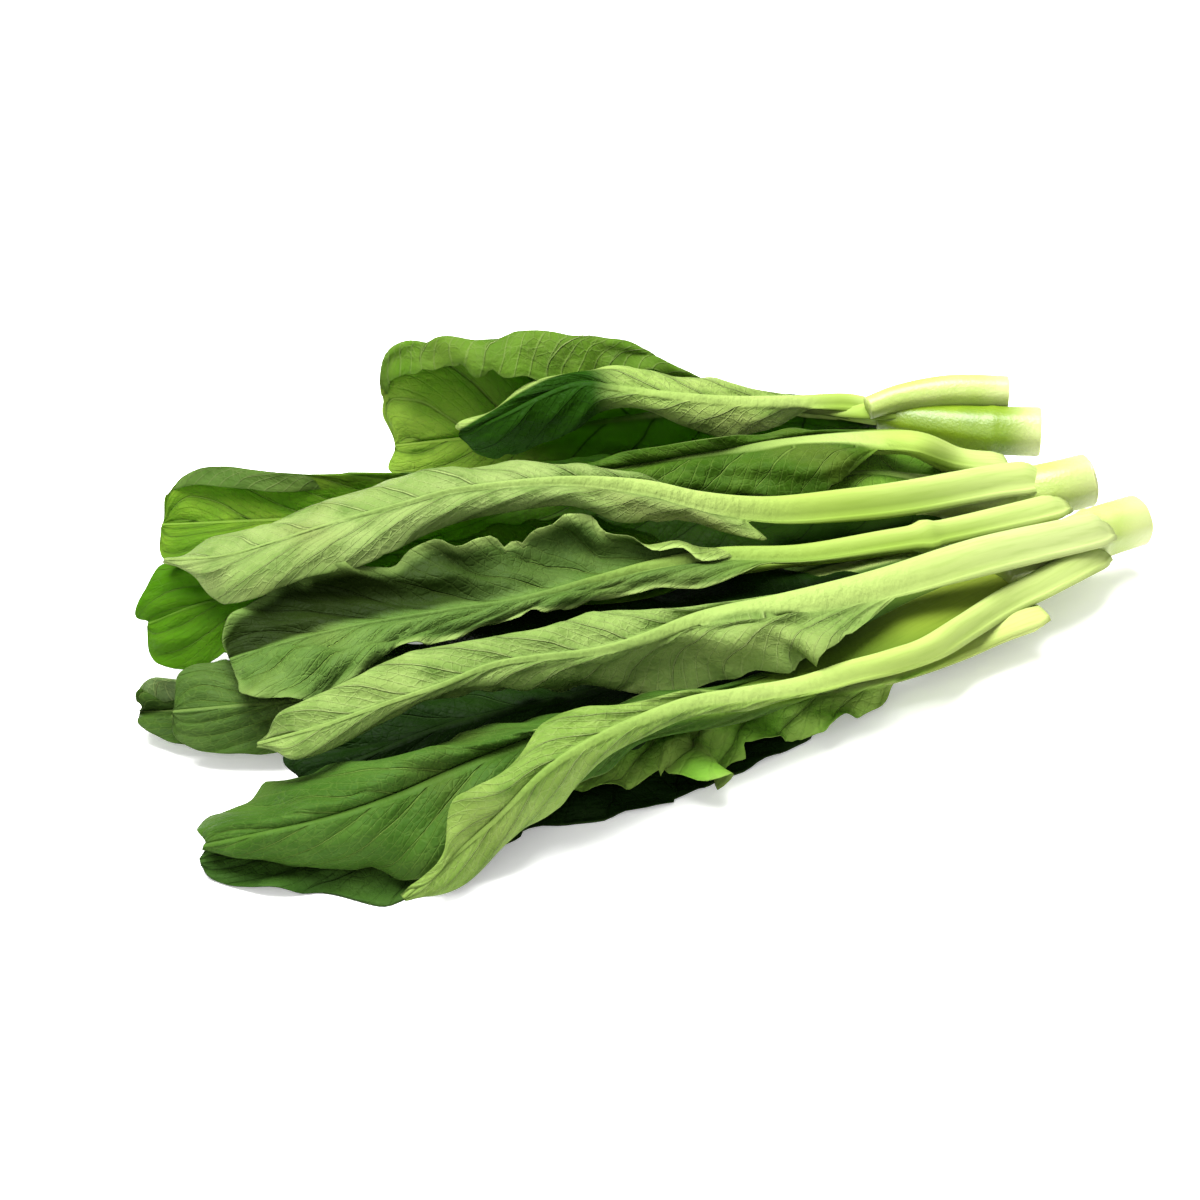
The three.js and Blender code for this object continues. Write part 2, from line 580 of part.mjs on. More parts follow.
// Lifts a leaf by a field, less and less towards its petiole's base. Each point rises on its ray to the eye,
// so that the leaf keeps its place in the view.
function lift(sheet, leaf, field) {
  const { eye } = viewAxes();
  sheet.points.forEach((line, i) => {
    const share = shareAlong(leaf, sheet.places[i], LIFTING);
    line.forEach((point) => {
      const ray = eye.clone().sub(point);
      point.addScaledVector(ray, (share * fieldAt(field, point)) / ray.z);
    });
  });
  sheet.normals = gridNormals(sheet.points);
}

// How far a leaf has to rise to lie clear of the pile, spread over the neighbouring cells and evened out
function neededLift(sheet, pile) {
  const { low } = leafHeights(sheet);
  const covered = (cell) => pile[cell] > 0 && low[cell] < Infinity;
  const needed = pile.map((top, cell) => (covered(cell) ? top + PILE_GAP - low[cell] : 0));
  const spread = overNeighbours(needed, LIFT_REACH, (values) => Math.max(0, highest(values)));
  return overNeighbours(overNeighbours(spread, LIFT_SOFTEN, mean), LIFT_SOFTEN, mean);
}

// The lifts that lay every leaf clear of the leaves under it, in the order of the table
function layPile(leaves) {
  const pile = newField(0);
  return leaves.map((leaf) => {
    const sheet = leafSheet(leaf, PILE_LEAF);
    const lifts = [];
    const rounds = (leaf.laid ?? true) ? LIFT_ROUNDS : 0;
    for (let round = 0; round < rounds; round++) {
      lifts.push(neededLift(sheet, pile));
      lift(sheet, leaf, lifts.at(-1));
    }
    const { high } = leafHeights(sheet);
    high.forEach((top, cell) => {
      pile[cell] = Math.max(pile[cell], top);
    });
    return lifts;
  });
}

// A closed skin over rings of points, with both ends closed by fans.
// The first topCount points of a ring are its upper face, whose facets the lower face repeats.
function skin(rings, topCount) {
  const count = rings[0].length;
  const at = (i, j) => i * count + (j % count);
  const points = rings.flat();
  const faces = [];
  for (let i = 0; i < rings.length - 1; i++) {
    for (let j = 0; j < count; j++) {
      const [a, b, c, d] = [at(i, j), at(i, j + 1), at(i + 1, j + 1), at(i + 1, j)];
      if (j < topCount) faces.push([a, b, c], [a, c, d]);
      else faces.push([a, b, d], [b, c, d]);
    }
  }
  const centre = (ring) => ring.reduce((sum, p) => sum.add(p), new THREE.Vector3()).divideScalar(count);
  const [first, last] = [points.push(centre(rings[0])) - 1, points.push(centre(rings.at(-1))) - 1];
  const end = rings.length - 1;
  for (let j = 0; j < count; j++) {
    faces.push([first, at(0, j + 1), at(0, j)], [last, at(end, j), at(end, j + 1)]);
  }
  const geometry = new THREE.BufferGeometry().setFromPoints(points);
  geometry.setIndex(faces.flat());
  return geometry;
}

// A leaf as closed rings over its upper face and back under it, swollen by a margin all round.
// What would reach below the floor is pressed flat on it.
function leafSkin(leaf, lifts, margin) {
  const sheet = leafSheet(leaf, { rows: LEAF_ROWS, blade: BLADE_COLUMNS, rib: RIB_COLUMNS });
  lifts.forEach((field) => lift(sheet, leaf, field));
  const { normals } = sheet;
  const pushOut = (line, edge, inner) => {
    line[edge].addScaledVector(line[edge].clone().sub(line[inner]).normalize(), margin);
  };
  sheet.points.forEach((line) => {
    pushOut(line, 0, 1);
    pushOut(line, line.length - 1, line.length - 2);
  });
  const [base, tip] = [sheet.points[0], sheet.points.at(-1)];
  const baseWay = base[0].clone().sub(sheet.points[1][0]).normalize();
  const tipWay = tip[0].clone().sub(sheet.points.at(-2)[0]).normalize();
  base.forEach((point) => point.addScaledVector(baseWay, margin));
  tip.forEach((point) => point.addScaledVector(tipWay, margin));
  const rings = sheet.points.map((line, i) => {
    const above = line.map((p, j) => moved(p, normals[i][j], sheet.thickness[i][j].above + margin));
    const below = line.map((p, j) => moved(p, normals[i][j], -sheet.thickness[i][j].below - margin));
    if (margin === 0) {
      above.forEach((p) => p.setZ(Math.max(p.z, BLADE)));
      below.forEach((p) => p.setZ(Math.max(p.z, 0)));
    }
    return [...above, ...below.reverse()];
  });
  return skin(rings, rings[0].length / 2);
}

// A stem as rings round its line, swollen by a margin all round
function stemSkin(stem, margin) {
  const line = lineThrough(stem.path);
  const rings = Array.from({ length: STEM_RINGS + 1 }, (_, i) => {
    const t = i / STEM_RINGS;
    const along = line.getTangentAt(t);
    const sideways = crossed(along, new THREE.Vector3(0, 0, 1));
    const upwards = crossed(sideways, along);
    const end = i === 0 ? -margin : i === STEM_RINGS ? margin : 0;
    const middle = moved(line.getPointAt(t), along, end);
    const radius = valueAt(stem.radius, t) + margin;
    return Array.from({ length: STEM_SIDES }, (_, j) => {
      const angle = Math.PI * (1 - (2 * j) / STEM_SIDES);
      return moved(moved(middle, sideways, radius * Math.cos(angle)), upwards, radius * Math.sin(angle));
    });
  });
  return skin(rings, 0);
}

const wasm = await Module();
wasm.setup();

function toSolid(geometry) {
  const merged = mergeVertices(geometry);
  return new wasm.Manifold(
    new wasm.Mesh({
      numProp: 3,
      vertProperties: merged.attributes.position.array,
      triVerts: new Uint32Array(merged.index.array),
    }),
  );
}

function toGeometry(solid) {
  const { vertProperties, triVerts, numProp } = solid.getMesh();
  if (numProp !== 3) throw new Error("a cut solid carries more than positions");
  const geometry = new THREE.BufferGeometry();
  geometry.setAttribute("position", new THREE.BufferAttribute(new Float32Array(vertProperties), 3));
  geometry.setIndex(new THREE.BufferAttribute(new Uint32Array(triVerts), 1));
  geometry.computeVertexNormals();
  return geometry;
}

// The largest body of a cut solid: loose scraps of a trimmed edge are dropped
function largestBody(solid) {
  return solid.decompose().reduce((a, b) => (a.volume() > b.volume() ? a : b));
}

function cutClear(whole, neighbours) {
  return largestBody(neighbours.reduce((solid, neighbour) => solid.subtract(neighbour), whole));
}

// A stem is cut clear of the stems before it, and a leaf of every stem and of the leaves that lie over it
function pieceSolids(stems, leaves) {
  const lifts = layPile(leaves);
  const swollenStems = stems.map((stem) => toSolid(stemSkin(stem, FIT)));
  const swollenLeaves = leaves.map((leaf, i) => toSolid(leafSkin(leaf, lifts[i], FIT)));
  return [
    ...stems.map((stem, i) => cutClear(toSolid(stemSkin(stem, 0)), swollenStems.slice(0, i))),
    ...leaves.map((leaf, i) =>
      cutClear(toSolid(leafSkin(leaf, lifts[i], 0)), [...swollenStems, ...swollenLeaves.slice(i + 1)]),
    ),
  ];
}

function makeMesh(name, colour, geometry) {
  const material = new THREE.MeshStandardMaterial({ color: colour, roughness: ROUGHNESS, metalness: 0 });
  const mesh = new THREE.Mesh(geometry, material);
  mesh.name = name;
  return mesh;
}

// The bunch, turned so that its length lies along X, with its box's bottom centre at the origin
function makeBunch() {
  const turned = new THREE.Group();
  turned.rotation.z = THREE.MathUtils.degToRad(BUNCH_TURN);
  const [stems, leaves] = [STEMS.map(placed), LEAVES.map(placed)];
  const pieces = [...stems, ...leaves];
  pieceSolids(stems, leaves).forEach((solid, i) => {
    turned.add(makeMesh(pieces[i].name, pieces[i].colour, toGeometry(solid)));
  });
  const bunch = new THREE.Group();
  bunch.add(turned);
  bunch.updateMatrixWorld(true);
  const box = new THREE.Box3().setFromObject(bunch, true);
  const centre = box.getCenter(new THREE.Vector3());
  turned.position.set(-centre.x, -centre.y, -box.min.z);
  return bunch;
}

export default makeBunch();
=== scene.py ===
"""A bunch of choy sum on a plain pale surface: thick cut stems at one end, long ribbed leaves at the other.

Lengths in the shape functions are millimetres, and a mesh is made in metres. The view's own frame has X to
the right, Y away from the camera and Z up; the bunch's frame is that one, turned.
"""

import math

import bpy
import numpy as np
from mathutils import Matrix, Vector


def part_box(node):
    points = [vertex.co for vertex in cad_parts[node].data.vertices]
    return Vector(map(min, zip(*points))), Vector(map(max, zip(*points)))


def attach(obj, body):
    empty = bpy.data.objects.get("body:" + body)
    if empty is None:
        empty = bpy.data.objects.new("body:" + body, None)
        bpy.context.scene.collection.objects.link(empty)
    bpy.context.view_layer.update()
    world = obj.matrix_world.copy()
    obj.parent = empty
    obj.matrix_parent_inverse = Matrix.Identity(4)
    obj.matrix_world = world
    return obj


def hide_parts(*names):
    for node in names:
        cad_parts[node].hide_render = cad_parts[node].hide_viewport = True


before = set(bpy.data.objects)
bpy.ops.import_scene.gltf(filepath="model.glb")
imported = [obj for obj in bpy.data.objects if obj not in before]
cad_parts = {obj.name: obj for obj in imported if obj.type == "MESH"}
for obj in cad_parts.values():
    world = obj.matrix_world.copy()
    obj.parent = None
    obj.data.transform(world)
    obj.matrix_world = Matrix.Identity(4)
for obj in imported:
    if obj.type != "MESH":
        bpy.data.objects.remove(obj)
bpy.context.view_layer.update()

MM = 0.001
BLADE = 0.5  # thickness of a leaf blade
FLOOR_BLADE = 0.8  # lowest height of the upper face of a leaf that lies on the floor
PETIOLE_RIM = 2.6  # thickness of a petiole at its two edges
RIB_MARGIN = 1  # blade left beside the rib where the leaf has no blade
PILE_GAP = 1.2  # height of a leaf over the leaves under it
BUNCH_TURN = -20  # degrees about Z from the view's frame to the bunch's own
ROW_CROWDING = 1.3  # above 1, a leaf's rows lie closer together near its tip
TANGENT_STEP = 0.001  # share of a line on each side of a point that gives its direction
LINE_DOTS, LENGTH_DOTS = 400, 200  # points on a line, to walk along it and to measure it
BLADE_GROWS = 0.2  # share of a blade's length over which its fold and waves grow
BLADE_FADES = 0.06  # share of it at the tip over which they fade
WAVE_OFFSET = 0.27  # part of a wave by which each edge is ahead of the rib or behind it
THINNING = (0.5, 1.1)  # where a petiole's edges thin to the blade's, in shares of blade_from
LIFTING = (0.3, 0.9)  # where a petiole takes on its leaf's lift, in shares of blade_from
PETIOLE_FADES = (0.55, 1.25)  # where its colour gives way to the blade's, in shares of blade_from
RIM_FLOOR = 0.2  # lowest height of a leaf's rim

# Facets of the finished pieces, and of a solid stem
LEAF_GRID = {"rows": 150, "blade": 24, "rib": 6}
STEM_GRID = {"rows": 60, "sides": 48}
CAD_STEM_GRID = {"rows": 5, "sides": 12}

# The pile is felt out on a square grid of cells, as in the part's source
PILE_GRID = {"rows": 44, "blade": 8, "rib": 2}
PILE_CELL, PILE_WEST, PILE_SOUTH = 2, -175, -160
PILE_SHAPE = (190, 170)
PILE_STEPS = 3  # points between two neighbouring points of a leaf, each way
LIFT_REACH, LIFT_SOFTEN = 4, 2  # cells over which a lift spreads, and over which it is evened out
LIFT_ROUNDS = 3  # a lifted leaf also moves towards the camera, so its lift is found again there

# Fine forms of a blade
VEIN_SPACING = 18  # between two side veins of the same half
VEIN_SLANT = 0.2  # share of the blade's length by which a side vein runs forward on its way to the edge
PUCKER = 0.8  # depth to which a side vein draws the blade in
VEIN_CURVE = 0.85  # power of the way out, by which its path bends
NEAR_VEINS = 0.5  # part of a spacing by which the near half's veins lie beside the far half's
PUCKER_WIDTH = 0.12  # of a vein's spacing
PUCKER_GROWS, PUCKER_FADES = 0.15, 0.6  # share of the way out to full depth, and share lost at the edge
RUFFLE, RUFFLE_WAVES = 1.1, (30, 17, 10)  # height of the small ruffles along an edge, and their lengths
FRINGE, FRINGE_WAVES = 1.3, (38, 19, 9)  # how far the edge's outline strays, and the lengths of its waves
TEARS, TEAR_DEPTH, TEAR_WIDTH = 5, 3.2, 1.8  # small tears in each edge
TEAR_PLACES, TEAR_SIZES = (0.1, 0.9), (0.3, 1)  # ranges, in shares of the edge's length and of the depth
SWELL, SWELL_WAVES = 1.1, (62, 34, 21)  # height of the slow swells over a blade, and their lengths
SWELL_SLANT = 2  # most waves by which a swell turns on its way out
SWELL_GROWS = 0.4  # share of the way out over which the swells grow
EDGE_POWER = 3  # power of the way out, by which ruffles, strays and tears grow
FULL_BREADTH = (8, 26)  # from the rib to the edge, where the fine forms start and where they are full
BASE_ROUND = 0.025  # share of a leaf's length over which its base is rounded off
BASE_HALF_WIDTH, BASE_DEPTH = 0.7, 0.3  # shares of the rib's half width and depth at the very base
EDGE_ROUND = 0.9  # how near a blade's rounded edge comes to a sharp one, at 1
CRUMPLES = {"front_crinkled_leaf": 3.4, "middle_cupped_leaf": 1.7, "rear_rolled_leaf": 1.3}  # times the usual
PETIOLE_RINGS = {"middle_cupped_leaf": (0.2, 1.4, 0.01)}  # an old leaf's node: place, height and width

# A stem's cut face, in shares of its radius from the middle out
CUT_FACE = [0.12, 0.45, 0.75, 0.95]
CUT_DISH = 0.5  # depth of the cut's middle below its rim
CUT_ROUND = 0.7  # how far the skin starts behind the cut
CUT_BLEND = 0.004  # share of the stem over which its skin is drawn back
CUT_STEP = 0.02  # share of the stem that gives the direction inwards
STEM_FURROWS, STEM_FURROW = 7, 0.012  # lengthwise furrows, and their depth as a share of the radius

# The photograph's view, which the tables are set out in, as in the part's source
VIEW_MIDDLE = 600  # pixels from the picture's left and upper edges to its middle
VIEW_SCALE = 3.2  # pixels to a millimetre at the point that the camera aims at
VIEW_DISTANCE = 1000  # from the camera to that point
VIEW_TILT = 33  # degrees by which the camera looks down
VIEW_AIM = (0, 0, 25)
SENSOR = 36  # width of the camera's sensor

# The light, in the view's frame
KEY_PLACE, KEY_SIZE, KEY_POWER = (-160, 90, 950), 800, 36
FILL_PLACE, FILL_SIZE, FILL_POWER = (-300, -900, 500), 700, 4
SKY_LOW, SKY_HIGH = 0.25, 0.8  # the even light from the horizon, and from overhead
OPEN_LIGHT = 2.3  # light on a leaf that lies open, over what shows a white one as white
SIDE_LIGHT = 1.5  # the same for a cut end, which stands upright
FLOOR_HALF = 6  # metres
FLOOR_COLOUR = (0.92, 0.92, 0.92, 1.0)
FLOOR_ROUGHNESS, FLOOR_GLOW = 0.6, 0.3
CLIP_START, CLIP_END = 0.01, 20  # metres

# Patterns of a leaf's finish, with their scales in cells to a millimetre
MOTTLE_SCALE, STAIN_SCALE, GRAIN_SCALE, WRINKLE_SCALE, NET_SCALE = 0.045, 0.022, 0.5, 0.11, 0.32
FIBRE_SCALE, FIBRE_LENGTHWISE = 0.9, 0.06  # across a petiole, and the share of that scale along it
STRAY_SCALE, VEIN_STRAY = 0.03, 0.5  # of the side veins' wander, and its range in vein spacings
VEIN_WIDTH, VEIN_TAPER = 0.055, 0.04  # half of it at the rib, and its loss at the edge, in vein spacings
TWIGS, TWIG_SLANT = 4, 2.2  # to a vein's spacing, and twigs crossed on the way out
LEAF_ROUGHNESS, LEAF_GLOSS, LEAF_BUMP = 0.46, 0.03, 0.0022  # the last in metres
LIGHT_THROUGH = (0.16, 0.36, 0.02, 1.0)  # colour of the light that a thin blade lets through

# Patterns of a stem's finish, with their scales in cells to a metre
STEM_MOTTLE_SCALE, STEM_GRAIN_SCALE = 60, 900
STEM_ROUGHNESS, STEM_BUMP, STEM_GLOW = 0.38, 0.0006, 0.15
STEM_GLOW_REACH = (0.004, 0.006, 0.0015)

# Each point of a stem's or leaf's lines is [right, down, height]: its pixel in the view, and its height above
# the surface in millimetres

# Stems, from the cut end inwards. A node is a ring: its share of the length, height and width
STEMS = [
    dict(
        name="front_stem",
        path=[[1138, 520, 18], [1100, 532, 18], [1050, 552, 17], [1000, 572, 17]],
        radius=[8.6, 8.6, 8, 5],
        nodes=[(0.34, 0.6, 0.025)],
    ),
    dict(
        name="middle_stem",
        path=[[1088, 480, 20], [1050, 489, 19], [1000, 497, 14], [915, 512, 9]],
        radius=[9, 8.6, 6, 4.5],
        nodes=[(0.38, 0.6, 0.025)],
    ),
    dict(
        name="rear_stem",
        path=[[1040, 432, 20], [985, 430, 20], [930, 424, 20], [880, 416, 20]],
        radius=[8.5, 8.2, 7, 5],
        nodes=[(0.3, 0.3, 0.03)],
    ),
    dict(
        name="rear_cut_stalk",
        path=[[1008, 392, 30], [950, 391, 30], [900, 398, 28], [868, 408, 26]],
        radius=[5.5, 5.6, 5, 4],
        nodes=[],
    ),
]

# Leaves, from the bottom of the pile to its top. A midrib runs from the petiole's base to the tip, and an
# edge from where the blade begins to the tip. A fold is a line halfway across a half of the blade, and a
# bulge lifts that line when it has no points of its own. The pale ribbed side is a leaf's underside.
# A leaf that isn't laid lies in another's roll or in its shelter, and stays at its own height. A rib's crown
# is the share of its depth that stands out on the leaf's other face. A wave is the height and the
# count of an edge's waves. USUAL_LEAF holds what a leaf has where its own entry says nothing else.
USUAL_LEAF = dict(
    near_bulge=0,
    far_bulge=0,
    rib_depth=[6, 5.5, 3.2, 1.4, 0.6, 0.3],
    rib_half_width=[6.5, 5.8, 3.6, 1.8, 1, 0.6],
    rib_crown=0.25,
    wave=[1.2, 4],
    pale_side_up=False,
    laid=True,
)
# The slimmer rib of leaves that lie low in the pile
SLIM_RIB = dict(rib_depth=[3, 3, 2.4, 1.2, 0.6, 0.3], rib_half_width=[4.5, 4.5, 3.4, 1.8, 1, 0.6])
LEAVES = [
    dict(
        name="front_floor_leaf",
        midrib=[[975, 605, 4], [875, 640, 4], [760, 682, 4], [600, 765, 4], [450, 800, 4],
            [320, 840, 4], [200, 862, 3]],
        near_edge=[[820, 728, 1], [700, 790, 1], [600, 820, 1], [530, 833, 1], [455, 878, 1],
            [395, 903, 1], [330, 892, 1], [270, 894, 1], [215, 880, 1]],
        far_edge=[[780, 690, 5], [640, 700, 6], [480, 730, 6], [330, 780, 5], [230, 825, 3]],
        blade_from=0.36,
    ),
    dict(
        name="rear_rolled_leaf",
        midrib=[[960, 402, 24], [900, 407, 23], [860, 408, 22], [801, 405, 22], [747, 405, 21],
            [690, 410, 20], [600, 422, 18], [500, 434, 15], [395, 446, 12]],
        near_edge=[[890, 428, 16], [840, 438, 12], [760, 462, 5], [640, 487, 2], [520, 500, 1],
            [430, 490, 2], [390, 472, 8]],
        far_edge=[[720, 388, 30], [640, 372, 38], [545, 384, 42], [490, 378, 43], [455, 363, 45],
            [412, 378, 40], [384, 395, 27]],
        far_fold=[[740, 392, 28], [690, 372, 36], [620, 345, 46], [560, 338, 50], [480, 340, 50],
            [408, 348, 45], [386, 392, 30]],
        blade_from=0.22,
    ),
    dict(
        name="left_curled_leaf",
        midrib=[[1000, 570, 6], [905, 590, 7], [785, 618, 8], [640, 640, 11], [480, 670, 13],
            [360, 690, 13], [250, 702, 11], [190, 710, 7], [140, 712, 6]],
        near_edge=[[600, 690, 8], [450, 708, 8], [320, 718, 8], [220, 742, 4], [180, 744, 4],
            [152, 734, 6], [138, 722, 8]],
        far_edge=[[600, 610, 14], [450, 640, 18], [320, 660, 18], [220, 694, 13], [180, 698, 11],
            [158, 704, 9], [140, 710, 8]],
        far_fold=[[600, 625, 14], [450, 650, 17], [320, 668, 19], [220, 684, 18], [175, 681, 17],
            [150, 680, 16], [134, 698, 13]],
        blade_from=0.42,
        **SLIM_RIB,
    ),
    dict(
        name="middle_floor_leaf",
        midrib=[[985, 525, 6], [900, 555, 8], [785, 585, 10], [660, 620, 14], [480, 670, 18],
            [380, 690, 19], [280, 702, 19], [215, 708, 18], [173, 712, 16]],
        near_edge=[[920, 590, 6], [840, 622, 8], [740, 655, 10], [620, 700, 11], [450, 730, 10],
            [330, 748, 8], [262, 752, 7], [205, 752, 7], [176, 738, 10]],
        far_edge=[[900, 530, 7], [800, 555, 9], [620, 610, 15], [450, 650, 22], [330, 662, 24],
            [240, 658, 23], [205, 659, 22], [180, 676, 20]],
        blade_from=0.12,
        **SLIM_RIB,
    ),
    dict(
        name="front_crinkled_leaf",
        midrib=[[1043, 613, 14], [1000, 628, 13], [960, 645, 12], [890, 673, 10], [800, 697, 9],
            [700, 720, 9], [620, 750, 9], [560, 783, 7]],
        near_edge=[[893, 684, 6], [872, 714, 3], [835, 722, 8], [800, 737, 2], [755, 746, 9],
            [722, 772, 3], [702, 780, 9], [665, 774, 4], [625, 782, 7], [580, 790, 3]],
        far_edge=[[860, 665, 12], [780, 680, 14], [700, 700, 14], [620, 730, 13]],
        blade_from=0.33,
        rib_depth=[4, 4, 3, 1.4, 0.6, 0.3],
        rib_half_width=[4.5, 5, 3.6, 1.8, 1, 0.6],
        wave=[3.2, 6],
    ),
    dict(
        name="front_shaded_leaf",
        midrib=[[985, 567, 12], [875, 610, 14], [760, 645, 16], [640, 680, 18], [560, 700, 19],
            [450, 725, 19], [370, 755, 16], [300, 782, 9]],
        near_edge=[[860, 645, 14], [760, 680, 14], [640, 740, 14], [520, 770, 9], [420, 790, 6],
            [335, 796, 6]],
        far_edge=[[880, 572, 15], [780, 572, 15], [640, 578, 17], [560, 588, 19], [480, 610, 21],
            [380, 680, 22], [288, 750, 14]],
        blade_from=0.2,
        **SLIM_RIB,
    ),
    dict(
        name="rear_left_leaf",
        midrib=[[985, 470, 8], [860, 490, 8], [750, 510, 9], [650, 485, 20], [540, 495, 23],
            [450, 502, 26], [385, 508, 28], [300, 518, 29], [230, 522, 29], [162, 525, 26]],
        near_edge=[[945, 534, 8], [900, 542, 8], [800, 556, 8], [700, 562, 8], [600, 560, 10], [500, 550, 14],
            [380, 550, 20], [280, 555, 24], [210, 565, 22], [163, 557, 22]],
        far_edge=[[900, 465, 10], [800, 460, 10], [700, 455, 14], [580, 458, 22], [460, 478, 32],
            [360, 486, 36], [280, 492, 38], [225, 488, 39], [172, 490, 36]],
        near_bulge=2,
        far_fold=[[900, 478, 9], [800, 475, 10], [700, 468, 17], [580, 466, 25], [460, 472, 34],
            [380, 475, 39], [280, 475, 42], [205, 470, 41], [166, 500, 33]],
        blade_from=0.08,
        **SLIM_RIB,
    ),
    dict(
        name="rear_folded_leaf",
        midrib=[[905, 420, 17], [865, 408, 21], [830, 403, 24], [740, 402, 31], [680, 397, 37],
            [620, 389, 41], [580, 384, 42], [540, 398, 38], [500, 418, 32], [460, 434, 24]],
        near_edge=[[800, 414, 21], [760, 431, 21], [725, 439, 22], [690, 425, 27], [640, 412, 33],
            [600, 410, 34], [570, 432, 26], [520, 452, 18], [480, 454, 16]],
        far_edge=[[790, 395, 26], [700, 380, 34], [620, 368, 42], [565, 373, 43], [520, 391, 39],
            [490, 408, 34], [458, 424, 28]],
        near_bulge=2,
        far_bulge=2,
        blade_from=0.22,
        rib_depth=[3, 2, 0.8, 0.4],
        rib_half_width=[4, 3, 1.4, 0.7],
        pale_side_up=True,
        laid=False,
    ),
    dict(
        name="front_spread_leaf",
        midrib=[[1095, 553, 12], [1010, 582, 13], [950, 610, 13], [895, 638, 14], [800, 682, 18],
            [700, 708, 24], [610, 724, 27], [540, 739, 28], [470, 765, 27], [400, 795, 25],
            [330, 818, 22], [265, 833, 17], [204, 846, 9]],
        near_edge=[[660, 735, 21], [600, 770, 19], [545, 806, 15], [480, 850, 10], [425, 877, 6],
            [345, 872, 5], [270, 857, 7], [225, 855, 7]],
        far_edge=[[690, 690, 24], [600, 706, 22], [500, 728, 21], [400, 758, 18], [297, 780, 13],
            [240, 798, 11], [198, 822, 8]],
        near_bulge=3,
        far_fold=[[690, 697, 27], [610, 712, 30], [540, 727, 32], [440, 748, 32], [380, 770, 30],
            [325, 793, 26], [265, 814, 19], [215, 832, 12]],
        blade_from=0.38,
        rib_depth=[3, 4, 3, 1.6, 0.8, 0.4],
        rib_half_width=[3.5, 10, 8, 3, 1.4, 0.7],
    ),
    dict(
        name="front_side_leaf",
        midrib=[[1098, 554, 15], [1068, 570, 18], [1035, 588, 17], [1000, 606, 15], [962, 630, 15],
            [930, 649, 17], [890, 663, 19], [850, 673, 21], [800, 687, 25], [740, 696, 30],
            [680, 706, 34], [600, 738, 36], [545, 772, 33], [490, 825, 20], [403, 898, 5]],
        near_edge=[[720, 713, 29], [660, 722, 32], [600, 766, 28], [545, 813, 17], [490, 862, 8],
            [440, 893, 4]],
        far_edge=[[760, 684, 30], [680, 696, 34], [600, 707, 37], [540, 727, 37], [500, 775, 32],
            [453, 802, 27], [441, 855, 15], [424, 876, 10]],
        near_bulge=2,
        far_bulge=2,
        blade_from=0.48,
        rib_depth=[4, 4, 3.4, 2, 0.9, 0.4],
        rib_half_width=[6, 4.6, 4.6, 3, 1.2, 0.6],
        pale_side_up=True,
    ),
    dict(
        name="middle_tip_leaf",
        midrib=[[1040, 500, 12], [1000, 516, 11], [905, 541, 12], [785, 558, 14], [640, 580, 21],
            [540, 580, 26], [450, 580, 28], [300, 590, 30], [210, 602, 28], [148, 624, 19]],
        near_edge=[[640, 600, 20], [500, 610, 22], [350, 620, 22], [270, 635, 21], [222, 658, 15],
            [180, 669, 10], [150, 656, 11]],
        far_edge=[[620, 520, 28], [450, 535, 32], [300, 560, 36], [220, 562, 38], [165, 561, 36],
            [146, 590, 28], [136, 615, 20]],
        near_bulge=2,
        far_bulge=2,
        blade_from=0.42,
        rib_depth=[3, 3, 2.4, 1.4, 0.6, 0.3],
        rib_half_width=[4, 4, 3, 1.8, 1, 0.6],
    ),
    dict(
        name="middle_cupped_leaf",
        midrib=[[1062, 505, 21], [1000, 520, 25], [937, 534, 27], [880, 543, 28], [800, 554, 28],
            [720, 555, 28], [655, 566, 29], [600, 580, 29], [520, 601, 29], [440, 613, 30],
            [360, 626, 30], [295, 641, 29], [230, 660, 26]],
        near_edge=[[712, 585, 26], [660, 590, 27], [600, 601, 27], [540, 614, 28], [470, 634, 28],
            [400, 650, 29], [350, 676, 29], [300, 703, 28], [262, 701, 27], [238, 682, 26]],
        far_edge=[[705, 562, 30], [682, 549, 34], [655, 549, 35], [632, 533, 40], [600, 532, 40],
            [572, 513, 45], [540, 528, 42], [500, 532, 44], [470, 547, 42], [440, 543, 44],
            [400, 560, 41], [330, 566, 41], [250, 598, 37], [229, 618, 33], [221, 640, 29]],
        near_bulge=3,
        far_bulge=-4,
        blade_from=0.38,
        rib_depth=[3.2, 3, 2.4, 1.6, 0.8, 0.4],
        rib_half_width=[5.6, 4.6, 3.6, 1.8, 0.9, 0.6],
        rib_crown=1,
    ),
    dict(
        name="middle_young_leaf",
        midrib=[[960, 482, 17], [920, 478, 18], [880, 473, 19], [850, 474, 20], [808, 484, 20]],
        near_edge=[[935, 492, 16], [890, 493, 17], [850, 494, 18], [820, 491, 19]],
        far_edge=[[945, 458, 19], [890, 451, 20], [850, 454, 21], [820, 466, 21]],
        laid=False,
        near_bulge=1,
        far_bulge=1,
        blade_from=0.06,
        rib_depth=[2, 1.5, 0.8, 0.4],
        rib_half_width=[2.5, 2, 1.2, 0.6],
    ),
    dict(
        name="middle_back_leaf",
        midrib=[[1005, 463, 18], [960, 459, 21], [915, 443, 26], [860, 440, 28], [780, 444, 28],
            [700, 455, 27], [620, 469, 26], [560, 484, 22]],
        near_edge=[[820, 492, 17], [770, 497, 17], [720, 498, 18], [660, 494, 20], [600, 494, 20]],
        far_edge=[[780, 432, 30], [720, 437, 33], [640, 450, 32], [580, 463, 27]],
        near_bulge=3,
        far_bulge=2,
        blade_from=0.3,
        rib_depth=[5, 5, 3.4, 1.4, 0.6],
        rib_half_width=[5, 6, 3.6, 1.6, 0.8],
    ),
    dict(
        name="middle_top_leaf",
        midrib=[[1045, 480, 22], [1000, 484, 22], [950, 493, 22], [900, 502, 22], [850, 508, 23],
